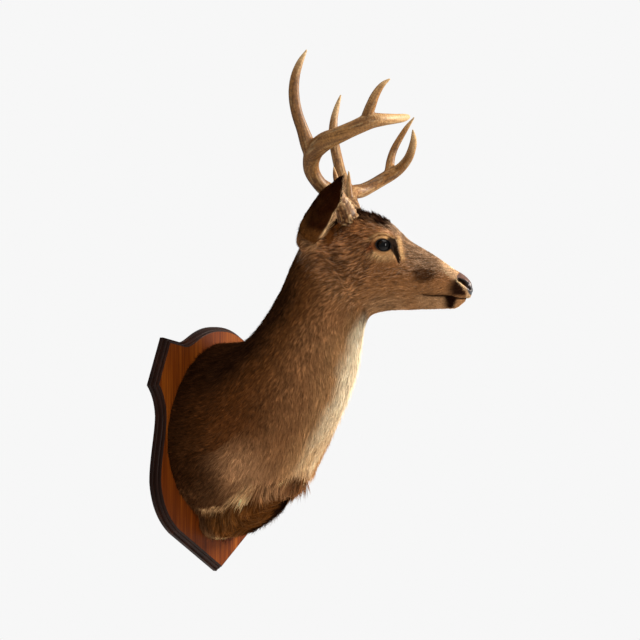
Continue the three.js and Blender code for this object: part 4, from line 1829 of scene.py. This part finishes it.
class Nodes:
    """A tree of shader nodes, with a short way to add and join them."""

    def __init__(self, tree: Tree) -> None:
        """Takes the tree to work on."""
        self.tree = tree

    def node(self, kind: str, inputs: dict[str | int, object] | None = None, **settings: object) -> Node:
        """Adds a node.

        Args:
            kind: Blender's name for the node.
            inputs: the output or the constant for each input.
            settings: the node's other settings.

        Returns:
            The node.
        """
        made = self.tree.nodes.new(kind)
        for name, value in settings.items():
            setattr(made, name, value)
        self.feed(made, inputs or {})
        return made

    def feed(self, node: Node, inputs: dict[str | int, object]) -> None:
        """Joins outputs to a node's inputs, or sets constants there.

        Args:
            node: the node.
            inputs: the output or the constant for each input.
        """
        for key, value in inputs.items():
            if isinstance(value, Socket):
                self.tree.links.new(value, node.inputs[key])
            else:
                node.inputs[key].default_value = value

    def attribute(self, name: str) -> Node:
        """Reads one of the piece's own attributes."""
        return self.node("ShaderNodeAttribute", attribute_name=name)

    def noise(self, cells: Triple | Socket, detail: float) -> Socket:
        """Adds noise over the piece's own space.

        Args:
            cells: how fine it is along each axis, in cells to the metre.
            detail: how much finer noise lies over it.

        Returns:
            Its value.
        """
        place = self.node("ShaderNodeTexCoord").outputs["Object"]
        moved = self.node("ShaderNodeMapping", {"Vector": place, "Scale": cells})
        made = self.node("ShaderNodeTexNoise", {"Vector": moved.outputs[0], "Scale": 1, "Detail": detail})
        return made.outputs[0]

    def ranged(self, value: Socket, *ends: float | Socket) -> Socket:
        """Moves a value from one range into another.

        Args:
            value: the value.
            ends: the new range's ends, then the old one's if it isn't 0 to 1.

        Returns:
            The moved value.
        """
        names = ("To Min", "To Max", "From Min", "From Max")
        return self.node("ShaderNodeMapRange", {"Value": value, **dict(zip(names, ends))}).outputs[0]

    def relief(self, height: Socket, distance: float, strength: float) -> Socket:
        """Directions that make a height show as relief."""
        inputs = {"Height": height, "Distance": distance, "Strength": strength}
        return self.node("ShaderNodeBump", inputs).outputs[0]


class Effect(Nodes):
    """A group of nodes that materials share, with named inputs and outputs."""

    def __init__(self, name: str, takes: dict[str, str], gives: dict[str, str]) -> None:
        """Starts a group.

        Args:
            name: the group's name.
            takes: the kind of each input, by its name.
            gives: the kind of each output, by its name.
        """
        super().__init__(bpy.data.node_groups.new(name, "ShaderNodeTree"))
        for way, sockets in (("INPUT", takes), ("OUTPUT", gives)):
            for label, kind in sockets.items():
                self.tree.interface.new_socket(label, in_out=way, socket_type="NodeSocket" + kind)
        self.taken = self.node("NodeGroupInput").outputs
        self.given = self.node("NodeGroupOutput")


class Shader(Nodes):
    """One material's nodes."""

    def __init__(self, name: str) -> None:
        """Starts a material that holds a Principled shader only.

        Args:
            name: the material's name.
        """
        self.material = bpy.data.materials.new(name)
        self.material.use_nodes = True
        super().__init__(self.material.node_tree)
        self.surface = self.tree.nodes["Principled BSDF"]

    def finish(self, inputs: dict[str | int, object]) -> Material:
        """Sets the Principled shader up and hands the material over."""
        self.feed(self.surface, inputs)
        return self.material

    def effect(self, group: Tree, inputs: dict[str | int, object]) -> bpy.types.NodeOutputs:
        """Places a shared effect.

        Args:
            group: the effect's group.
            inputs: this material's own values for it.

        Returns:
            The effect's outputs.
        """
        made = self.node("ShaderNodeGroup", node_tree=group)
        self.feed(made, inputs)
        return made.outputs


@cache
def fleck_effect() -> Tree:
    """The fleck of fur and of bone: a colour made lighter and darker from place to place.

    Returns:
        The effect's group.
    """
    limits = ("Darkest", "Lightest", "Low", "High")
    effect = Effect(
        "fleck", {"Color": "Color", "Cells": "Vector"} | dict.fromkeys(limits, "Float"),
        {"Color": "Color", "Height": "Float"})
    fine = effect.noise(effect.taken["Cells"], 4)
    tone = effect.ranged(fine, *(effect.taken[name] for name in limits))
    toned = effect.node("ShaderNodeVectorMath", {0: effect.taken["Color"], 1: tone}, operation="MULTIPLY")
    effect.feed(effect.given, {"Color": toned.outputs[0], "Height": fine})
    return effect.tree


@cache
def grain_effect() -> Tree:
    """The upright grain of the board's woods, in three tones.

    Returns:
        The effect's group.
    """
    effect = Effect("grain", {"Dark": "Color", "Middle": "Color", "Light": "Color"},
                    {"Color": "Color", "Height": "Float"})
    broad, fine = effect.noise((26, 26, 2.2), 3), effect.noise((420, 420, 9), 3)
    grain = effect.node("ShaderNodeMix", {0: 0.38, 2: broad, 3: fine}).outputs[0]
    colour = effect.taken["Dark"]
    for tone, start, end in (("Middle", 0.34, 0.50), ("Light", 0.50, 0.66)):
        share = effect.ranged(grain, 0, 1, start, end)
        inputs = {0: share, 6: colour, 7: effect.taken[tone]}
        colour = effect.node("ShaderNodeMix", inputs, data_type="RGBA").outputs[2]
    effect.feed(effect.given, {"Color": colour, "Height": fine})
    return effect.tree


@dataclass(frozen=True)
class HideFinish:
    """The short under-coat, and the black hairless skin of nose and lids."""

    fur_roughness: float = 0.85
    bare_roughness: float = 0.36
    fur_cells: Triple = (850, 850, 340)
    pebble_cells: float = 620
    gloss: float = 0.55

    def material(self) -> Material:
        """Makes the material.

        Returns:
            The material.
        """
        shader = Shader("hide")
        bare = shader.attribute(BARE_SKIN).outputs["Fac"]
        fur = shader.effect(fleck_effect(), {
            "Color": shader.attribute(COAT_COLOUR).outputs["Color"], "Cells": self.fur_cells,
            "Darkest": 0.62, "Lightest": 1.30, "Low": 0.25, "High": 0.75,
        })
        place = shader.node("ShaderNodeTexCoord").outputs["Object"]
        pebbles = shader.node("ShaderNodeTexVoronoi", {"Vector": place, "Scale": self.pebble_cells})
        height = shader.node("ShaderNodeMix", {0: bare, 2: fur["Height"], 3: pebbles.outputs["Distance"]})
        return shader.finish({
            "Base Color": fur["Color"],
            "Roughness": shader.ranged(bare, self.fur_roughness, self.bare_roughness),
            "Normal": shader.relief(height.outputs[0], 0.0009, 0.35),
            "Coat Weight": shader.ranged(bare, 0, self.gloss),
            "Coat Roughness": self.bare_roughness,
            "Specular IOR Level": 0.03,
        })


@dataclass(frozen=True)
class PaintedFinish:
    """A finish whose colours the piece carries itself: the coat's tufts, or a glass eye."""

    name: str
    roughness: float
    shine: float

    def material(self) -> Material:
        """Makes the material.

        Returns:
            The material.
        """
        shader = Shader(self.name)
        return shader.finish({
            "Base Color": shader.attribute(COAT_COLOUR).outputs["Color"], "Roughness": self.roughness,
            "Specular IOR Level": self.shine,
        })


HAIR = PaintedFinish("coat", roughness=0.80, shine=0)
GLASS = PaintedFinish("glass_eye", roughness=0.07, shine=0.28)


@dataclass(frozen=True)
class AntlerFinish:
    """Rubbed bone, whose stain is painted on the piece."""

    roughness: float = 0.50
    shine: float = 0.3
    cells: Triple = (260, 260, 260)

    def material(self) -> Material:
        """Makes the material.

        Returns:
            The material.
        """
        shader = Shader("antler")
        bone = shader.effect(fleck_effect(), {
            "Color": shader.attribute(COAT_COLOUR).outputs["Color"], "Cells": self.cells,
            "Darkest": 0.66, "Lightest": 1.30, "Low": 0.3, "High": 0.7,
        })
        return shader.finish({
            "Base Color": bone["Color"],
            "Roughness": self.roughness,
            "Normal": shader.relief(bone["Height"], 0.0007, 0.3),
            "Specular IOR Level": self.shine,
        })


@dataclass(frozen=True)
class MahoganyFinish:
    """Varnished mahogany with its grain upright."""

    name: str = "mahogany"
    dark: Colour = linear(60, 21, 2)
    middle: Colour = linear(108, 48, 9)
    light: Colour = linear(156, 84, 22)
    roughness: float = 0.42
    varnish: float = 0.08
    varnish_roughness: float = 0.18
    shine: float = 0.14

    def material(self) -> Material:
        """Makes the material.

        Returns:
            The material.
        """
        shader = Shader(self.name)
        tones = {"Dark": self.dark, "Middle": self.middle, "Light": self.light}
        wood = shader.effect(grain_effect(), {name: (*colour, 1) for name, colour in tones.items()})
        return shader.finish({
            "Base Color": wood["Color"],
            "Roughness": self.roughness,
            "Specular IOR Level": self.shine,
            "Coat Weight": self.varnish,
            "Coat Roughness": self.varnish_roughness,
            "Normal": shader.relief(wood["Height"], 0.0003, 0.2),
        })


# ---- board


def curve_points(pulls: list[Pair], steps: int) -> list[Pair]:
    """Points along a Bezier curve of any degree, without its first end.

    Args:
        pulls: the curve's ends and what pulls it, in order.
        steps: how many points.

    Returns:
        The points, the last at the far end.
    """
    degree = len(pulls) - 1
    made = []
    for step in range(1, steps + 1):
        t = step / steps
        weights = [math.comb(degree, i) * t ** i * (1 - t) ** (degree - i) for i in range(degree + 1)]
        made.append(tuple(sum(w * p[axis] for w, p in zip(weights, pulls)) for axis in (0, 1)))
    return made


@dataclass
class ShieldBoard:
    """The shield that the deer is mounted on, with a moulded edge, as across and up in millimetres."""

    back_edge: float = 7.2
    # The mouldings' steps from the edge inwards: how far each goes in and how far it rises.
    moulding: tuple[Pair, ...] = (
        (0.8, 0.8), (2.4, 0), (0.3, 0.5), (0.15, 2.4), (0.4, 1.9), (0.7, 1.3), (0.9, 0.8), (0.9, 0.2),
        (0.4, 0), (0.15, 0.7), (0.15, 1.6), (0.4, 1.2), (0.7, 0.9), (1, 0.5),
    )
    wood: MahoganyFinish = MahoganyFinish()
    # Painted shade: the moulding, sides and back take a much darker copy of the face's mahogany.
    edge: MahoganyFinish = MahoganyFinish(
        "mahogany_edge", linear(20, 7, 3), linear(36, 14, 5), linear(62, 28, 11), 0.45, 0)

    def outline(self) -> list[Pair]:
        """Draws the whole outline.

        Returns:
            Its points, from the top middle round the left side and back.
        """
        half = [(0, 237)]
        half += curve_points([half[-1], (76, 238), (98, 198), (126, 205)], 14)
        half += [(174, 212), (213, 124)]
        half += curve_points([half[-1], (191, 102), (188, 68)], 7)
        half += curve_points([half[-1], (188, 38), (205, -12), (204, -52)], 12)
        half += curve_points([half[-1], (197, -112), (145, -149)], 10)
        half += [(0, -235)]
        return half + [(-x, z) for x, z in reversed(half[1:-1])]

    def build(self) -> Piece:
        """Cuts the board and its moulding.

        Returns:
            The board, without its woods.
        """
        shape = bmesh.new()
        rim = [shape.verts.new((x * MM, 0, z * MM)) for x, z in self.outline()]
        face = shape.faces.new(rim)
        if face.normal.y > 0:
            face.normal_flip()
        back = bmesh.ops.extrude_face_region(shape, geom=[face], use_keep_orig=True)
        front = [f for f in back["geom"] if isinstance(f, bmesh.types.BMFace)]
        bmesh.ops.translate(shape, vec=(0.0, -self.back_edge * MM, 0.0), verts=front[0].verts)
        shape.normal_update()
        for inset, lift in self.moulding:
            bmesh.ops.inset_region(shape, faces=front, thickness=inset * MM, depth=0.0,
                                   use_boundary=True, use_even_offset=True)
            bmesh.ops.translate(shape, vec=(0.0, -lift * MM, 0.0), verts=front[0].verts)
        bmesh.ops.recalc_face_normals(shape, faces=shape.faces)
        # The front face takes the wood; every other face takes the darker copy, which is painted shade.
        for part in shape.faces:
            part.material_index = 0 if part in front else 1
            part.smooth = False
        return linked("mahogany_shield", mesh_of("shield_board_visual", shape))

    def dress(self, piece: Piece) -> None:
        """Gives the board its wood and the darker painted-shade copy for its moulding, and ties it to its
        node.

        Args:
            piece: the board.
        """
        for finish in (self.wood, self.edge):
            piece.data.materials.append(finish.material())
        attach(piece, BODY)
        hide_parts("shield_board")


# ---- eyes


@dataclass
class GlassEye:
    """One glass eye, whose iris and long pupil face out to the side."""

    side: Side
    cornea: float = 0.7
    pupil_half_length: float = 7.4
    pupil_half_height: float = 3.9
    iris: Colour = linear(8, 4, 3)
    pupil: Colour = linear(3, 3, 4)
    white: Colour = linear(12, 8, 6)

    def build(self) -> Piece:
        """Blows the ball, with a clear bulge at its front.

        Returns:
            The eye, without its finish.
        """
        shape = bmesh.new()
        bmesh.ops.create_uvsphere(shape, u_segments=48, v_segments=32, radius=EYE.radius)
        bmesh.ops.transform(shape, matrix=Matrix.Rotation(math.radians(90), 4, "Y"), verts=shape.verts)
        mesh = mesh_of(f"glass_eye_{self.side.word}", shape)
        ball = read_points(mesh)
        ahead = ball[:, 0] > 0
        ring = np.hypot(ball[:, 1], ball[:, 2]) / EYE.radius
        pupil = np.hypot(ball[:, 1] / self.pupil_half_length, ball[:, 2] / self.pupil_half_height)
        glass = Layers(self.white, len(ball))
        glass.lay(self.iris, rise(0.80, 0.72, ring) * ahead)
        glass.lay(self.pupil, rise(1.12, 0.94, pupil) * ahead)
        ball[:, 0] += self.cornea * rise(0.85, 0, ring) * ahead
        write_points(mesh, HEAD.out_of((ball + np.array(EYE.centre)) * self.side.flip))
        if self.side is Side.RIGHT:
            mesh.flip_normals()
        paint(mesh, COAT_COLOUR, glass.colours)
        shade_smooth(mesh)
        return linked(mesh.name, mesh)

    def dress(self, piece: Piece, material: Material) -> None:
        """Gives the eye its glass and ties it to its node.

        Args:
            piece: the eye.
            material: the glass.
        """
        piece.data.materials.append(material)
        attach(piece, BODY)
        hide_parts(f"eye_{self.side.word}")


# ---- antlers

Station = tuple[float, float, float, float]


def smooth_line(stations: tuple[Station, ...], step: float) -> Array:
    """Follows a centripetal curve through stations of out, behind, up and radius.

    Args:
        stations: what the curve goes through.
        step: the distance between the places.

    Returns:
        Even steps along the curve, as rows like the stations.
    """
    given = np.array(stations, float)
    points = np.vstack([2 * given[0] - given[1], given, 2 * given[-1] - given[-2]])
    made = [given[:1]]
    for four in zip(points, points[1:], points[2:], points[3:]):
        gaps = [max(np.linalg.norm((q - p)[:3]), 1e-6) for p, q in zip(four, four[1:])]
        knots = np.cumsum([0] + [gap ** 0.5 for gap in gaps])
        t = np.linspace(knots[1], knots[2], max(int(gaps[1] / step), 1) + 1)[1:, None]
        for spans in (((0, 1), (1, 2), (2, 3)), ((0, 2), (1, 3)), ((1, 2),)):
            four = [((knots[j] - t) * p + (t - knots[i]) * q) / (knots[j] - knots[i])
                    for (i, j), p, q in zip(spans, four, four[1:])]
        made.append(four[0])
    return np.vstack(made)


@dataclass
class BonePlaces:
    """Where points lie on an antler's lines."""

    offset: Array  # from the nearest place on a line
    run: Array  # how far along its line that is, with a start of its own for each line
    share: Array  # the same as a share of the line's length
    thick: Array  # the line's radius there


@dataclass
class Antler:
    """One antler with its burr, main beam and tines."""

    side: Side
    beam: tuple[Station, ...]
    tines: dict[str, tuple[Station, ...]]
    burr_radius: float = 22
    burr_rise: float = 12
    burr_half_height: float = 6.5
    pedicle: float = 26
    pedicle_radius: float = 18.5
    pedicle_half_height: float = 18
    voxel: float = 0.0017
    step: float = 4
    line_gap: float = 300
    amber: Colour = linear(158, 112, 62)
    brown: Colour = linear(98, 58, 27)
    groove: Colour = linear(58, 32, 14)
    ivory: Colour = linear(222, 190, 140)
    base: Colour = linear(136, 96, 58)

    def build(self) -> Piece:
        """Sweeps beam and tines, joins them in one skin and cuts the grooves.

        Returns:
            The antler, painted but without its finish.
        """
        name = f"antler_{self.side.word}"
        curve = bpy.data.curves.new(name, "CURVE")
        curve.dimensions = "3D"
        curve.bevel_depth = MM
        curve.bevel_resolution = 5
        curve.use_fill_caps = True
        lines = [smooth_line(stations, self.step) for stations in (self.beam, *self.tines.values())]
        for line in lines:
            spline = curve.splines.new("POLY")
            spline.points.add(len(line) - 1)
            places = HEAD.out_of(line[:, :3] * self.side.flip)
            spline.points.foreach_set("co", np.hstack([places, np.ones((len(line), 1))]).ravel())
            spline.points.foreach_set("radius", line[:, 3])
        mesh = finished_mesh(linked(name + "_sweep", curve))
        self._add_burr(mesh)
        mesh = remeshed(name, mesh, self.voxel)
        keep_largest_shell(mesh)
        write_points(mesh, relax(read_points(mesh), read_edges(mesh), np.full(len(mesh.vertices), 0.5), 4))
        self._carve(mesh, lines)
        shade_smooth(mesh)
        return linked(name, mesh)

    def _add_burr(self, mesh: Mesh) -> None:
        """Adds the ring of bone round the beam's foot and the stub below it.

        Args:
            mesh: the swept antler, which is changed.
        """
        foot, ahead = np.array(self.beam[0][:3]), np.array(self.beam[1][:3])
        way = unit(ahead - foot)
        shape = shape_of(mesh)
        for along, radius, half_height in (
            (self.burr_rise * 0.3, self.burr_radius, self.burr_half_height),
            (-self.pedicle * 0.4, self.pedicle_radius, self.pedicle_half_height),
        ):
            centre = Vector(HEAD.out_of((foot + way * along) * self.side.flip))
            turn = Vector(HEAD.turned_out(way * self.side.flip)).to_track_quat("Z", "Y").to_matrix().to_4x4()
            size = Matrix.Diagonal((radius * MM, radius * MM, half_height * MM, 1.0))
            place = Matrix.Translation(centre) @ turn @ size
            bmesh.ops.create_uvsphere(shape, u_segments=32, v_segments=16, radius=1.0, matrix=place)
        mesh_of(mesh.name, shape, mesh)

    def _locate(self, own: Array, lines: list[Array]) -> BonePlaces:
        """Finds the nearest place on the middle lines.

        Args:
            own: places on one side of the head.
            lines: the middle lines, with their radii.

        Returns:
            Where they lie.
        """
        gap = np.full(len(own), np.inf)
        found = BonePlaces(np.zeros_like(own), *np.zeros((2, len(own))), np.ones(len(own)))
        for number, line in enumerate(lines):
            length = 0
            total = np.linalg.norm(np.diff(line[:, :3], axis=0), axis=1).sum()
            for start, end in zip(line, line[1:]):
                way = end[:3] - start[:3]
                size = float(np.linalg.norm(way))
                t = np.clip((own - start[:3]) @ way / size ** 2, 0, 1)
                offset = own - (start[:3] + t[:, None] * way)
                thick = start[3] + t * (end[3] - start[3])
                away = np.linalg.norm(offset, axis=1) - thick
                nearer = away < gap
                gap[nearer] = away[nearer]
                found.offset[nearer] = offset[nearer]
                found.run[nearer] = (length + t * size)[nearer] + self.line_gap * number
                found.share[nearer] = ((length + t * size) / total)[nearer]
                found.thick[nearer] = thick[nearer]
                length += size
        return found

    def _carve(self, mesh: Mesh, lines: list[Array]) -> None:
        """Cuts long grooves and raises pearls, then stains the bone.

        Args:
            mesh: the antler, which is changed.
            lines: the middle lines, with their radii.
        """
        points, normals = read_points(mesh), read_normals(mesh)
        own = HEAD.into(points) * self.side.flip
        at = self._locate(own, lines)
        along = np.outer(at.run * 0.07, np.array([0.5, 0.7, 0.5]))
        seed = 21 + self.side.value
        coarse = value_noise(at.offset + along, 5.5, seed)
        fine = value_noise(at.offset + along * 1.4, 2.4, seed + 2)
        flecks = value_noise(at.offset + along * 3, 1.9, seed + 8)
        pearl = rise(0.15, 0.55, value_noise(own, 4, seed + 4))
        low, burr = rise(120, 25, at.run), rise(24, 8, at.run)
        depth = 0.75 * np.minimum(at.thick / 12, 1) * rise(1, 0.82, at.share)
        relief = depth * (coarse * 0.55 + fine * 0.25) + pearl * (0.7 * low + 1.6 * burr)
        write_points(mesh, points + normals * (relief * MM)[:, None])
        stain = 0.5 + 0.5 * value_noise(own, 52, 27)
        bone = Layers(self.amber, len(own))
        bone.lay(self.brown, rise(0.25, 0.85, stain) * 0.5)
        bone.lay(self.base, low * 0.6)
        bone.lay(self.groove, rise(0, -0.6, coarse) * 0.35)
        bone.lay(self.groove, rise(0.1, 0.6, flecks) * rise(0.9, 0.6, at.share) * 0.55)
        bone.lay(self.groove, np.maximum(low * 0.75, burr) * (1 - pearl) * rise(0.4, -0.4, fine))
        bone.lay(self.ivory, rise(0.1, 0.7, fine + coarse * 0.5) * 0.30)
        bone.lay(self.ivory, rise(0.72, 1, at.share) * 0.6)
        bone.lay(self.ivory, pearl * (0.30 * low + 0.25 * burr))
        paint(mesh, COAT_COLOUR, bone.colours)

    def dress(self, piece: Piece, material: Material) -> None:
        """Gives the antler its finish and ties it to its nodes.

        Args:
            piece: the antler.
            material: the finish.
        """
        piece.data.materials.append(material)
        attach(piece, BODY)
        parts = ("base", "middle", "tip", "brow_tine", "second_tine", "third_tine")
        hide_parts(*(f"antler_{self.side.word}_{part}" for part in parts))


RIGHT_ANTLER = Antler(
    Side.RIGHT,
    beam=(
        (36, 223, 428, 18.5), (45, 233, 454, 17), (60, 250, 475, 16), (79, 271, 492, 13.5),
        (102, 282, 516, 14.5), (127, 273, 542, 17), (147, 250, 557, 17), (160, 224, 565, 15),
        (169, 192, 576, 14), (169, 164, 587, 14), (154, 143, 592, 11), (126, 126, 598, 9),
        (96, 114, 605, 7.5), (68, 109, 612, 4.5),
    ),
    tines={
        "brow": ((56, 236, 474, 8), (58, 242, 496, 6.5), (58, 246, 512, 4.5), (56, 249, 527, 1.6)),
        "second": (
            (122, 276, 532, 13), (131, 283, 556, 13.5), (139, 290, 580, 11.5), (149, 299, 610, 10.5),
            (157, 303, 642, 10), (161, 300, 672, 8.5), (161, 291, 699, 6), (158, 279, 722, 1.8),
        ),
        "third": (
            (168, 174, 582, 11.5), (175, 162, 613, 9.5), (178, 152, 634, 7.5), (178, 140, 650, 5),
            (175, 127, 660, 1.8),
        ),
    },
)
LEFT_ANTLER = Antler(
    Side.LEFT,
    beam=(
        (36, 222, 428, 18.5), (47, 229, 452, 17), (62, 236, 470, 16), (82, 242, 486, 14.5),
        (104, 243, 498, 14.5), (126, 238, 504, 14.5), (145, 227, 509, 14), (160, 210, 520, 13),
        (170, 191, 533, 13), (171, 172, 544, 13), (166, 155, 553, 11), (153, 138, 568, 9.5),
        (134, 127, 584, 8.5), (108, 120, 600, 6.5), (78, 118, 615, 1.8),
    ),
    tines={
        "brow": ((57, 234, 462, 8), (58, 237, 486, 6.5), (58, 239, 512, 5), (56, 239, 536, 1.6)),
        "second": (
            (104, 246, 499, 12), (115, 263, 536, 11), (130, 275, 576, 10.5), (143, 284, 616, 10),
            (151, 285, 650, 8), (155, 279, 680, 5.5), (156, 271, 705, 1.8),
        ),
        "third": (
            (171, 176, 542, 11), (177, 174, 573, 8.5), (180, 167, 596, 7.5), (181, 155, 618, 6.5),
            (179, 141, 639, 5), (174, 126, 657, 1.8),
        ),
    },
)


# ---- studio


@dataclass(frozen=True)
class Lamp:
    """One soft lamp, by its width and height."""

    name: str
    place: Triple
    size: Pair
    watts: float
    tint: Colour = (1, 1, 1)


@dataclass
class Studio:
    """The floor, the lamps, the pale surroundings and the camera."""

    floor_height: float = -1.3
    floor_radius: float = 4.4
    floor_colour: Colour = (0.80, 0.80, 0.80)
    surroundings: float = 0.30
    backdrop: float = 0.93
    camera_place: Triple = (-2.2456, -1.5624, 0.130)
    camera_heading: Pair = (0.8616, 0.5075)
    camera_rise: float = math.radians(2.536)
    lens: float = 78.75
    look_at: Triple = (0, -0.25, 0.22)
    lamps: tuple[Lamp, ...] = (
        Lamp("key", (1.6, -2.3, 1.45), (0.6, 1.2), 150, (1, 0.92, 0.82)),
        Lamp("fill", (-1.45, -2.6, 0.75), (0.3, 1.5), 25, (1, 0.95, 0.88)),
        Lamp("top", (-0.4, -0.7, 2.6), (1.6, 1.6), 26, (1, 0.95, 0.88)),
    )

    def build(self) -> None:
        """Sets the studio up."""
        self._floor()
        self._surround()
        for lamp in self.lamps:
            self._light(lamp)
        self._camera()
        bpy.context.scene.view_settings.view_transform = "Standard"

    def _floor(self) -> None:
        """A plain pale disc under the mount."""
        shape = bmesh.new()
        bmesh.ops.create_circle(shape, cap_ends=True, segments=96, radius=self.floor_radius)
        bmesh.ops.translate(shape, vec=(0.0, 0.0, self.floor_height), verts=shape.verts)
        mesh = mesh_of("floor", shape)
        shader = Shader("floor")
        shader.feed(shader.surface, {"Base Color": (*self.floor_colour, 1), "Roughness": 0.9})
        mesh.materials.append(shader.material)
        linked("floor", mesh)

    def _surround(self) -> None:
        """Pale surroundings, white to the camera and dimmer as a light."""
        world = bpy.data.worlds.new("surroundings")
        bpy.context.scene.world = world
        world.use_nodes = True
        nodes = Nodes(world.node_tree)
        shade = world.node_tree.nodes["Background"]
        nodes.feed(shade, {"Color": (self.surroundings,) * 3 + (1,)})
        seen = nodes.node("ShaderNodeBackground", {"Color": (self.backdrop,) * 3 + (1,)})
        path = nodes.node("ShaderNodeLightPath").outputs["Is Camera Ray"]
        mix = nodes.node("ShaderNodeMixShader", {0: path, 1: shade.outputs[0], 2: seen.outputs[0]})
        nodes.feed(world.node_tree.nodes["World Output"], {"Surface": mix.outputs[0]})

    def _light(self, lamp: Lamp) -> None:
        """Hangs one lamp, turned to the mount.

        Args:
            lamp: the lamp.
        """
        light = bpy.data.lights.new(lamp.name, "AREA")
        light.shape = "RECTANGLE"
        light.size, light.size_y = lamp.size
        light.energy = lamp.watts
        light.color = lamp.tint
        self._hang(light, lamp.place, Vector(self.look_at) - Vector(lamp.place))

    def _camera(self) -> None:
        """Puts the camera to the deer's right, a little below its eyes."""
        camera = bpy.data.cameras.new("camera")
        camera.lens = self.lens
        camera.sensor_width = 36
        across, ahead = (part * math.cos(self.camera_rise) for part in self.camera_heading)
        way = Vector((across, ahead, math.sin(self.camera_rise)))
        bpy.context.scene.camera = self._hang(camera, self.camera_place, way)

    def _hang(self, thing: bpy.types.ID, place: Triple, way: Vector) -> Piece:
        """Puts a lamp or the camera in the scene.

        Args:
            thing: what to hang.
            place: where.
            way: the direction that it faces.

        Returns:
            Its object.
        """
        held = linked(thing.name, thing)
        held.location = place
        held.rotation_euler = way.to_track_quat("-Z", "Y").to_euler()
        return held


# ---- the whole


def main() -> None:
    """Builds the mount from the board to the coat and reports each piece."""
    logging.basicConfig(level=logging.INFO, format="%(message)s")
    nodes = frame["nodes"]
    board = ShieldBoard()
    board.dress(report(board.build()))
    glass = GLASS.material()
    for side in Side:
        eye = GlassEye(side)
        eye.dress(report(eye.build()), glass)
    bone = AntlerFinish().material()
    for antler in (RIGHT_ANTLER, LEFT_ANTLER):
        antler.dress(report(antler.build()), bone)
    hide = Hide()
    skin = report(hide.build(nodes))
    hair = HAIR.material()
    for patch, piece in Coat().build(skin):
        patch.dress(report(piece), hair)
    hide.dress(skin)
    Studio().build()
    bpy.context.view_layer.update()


def report(piece: Piece) -> Piece:
    """Writes a piece's size to the log and passes the piece on."""
    LOG.info("%s: %d triangles", piece.name, len(read_triangles(piece.data)))
    return piece


if __name__ == "__main__":
    main()
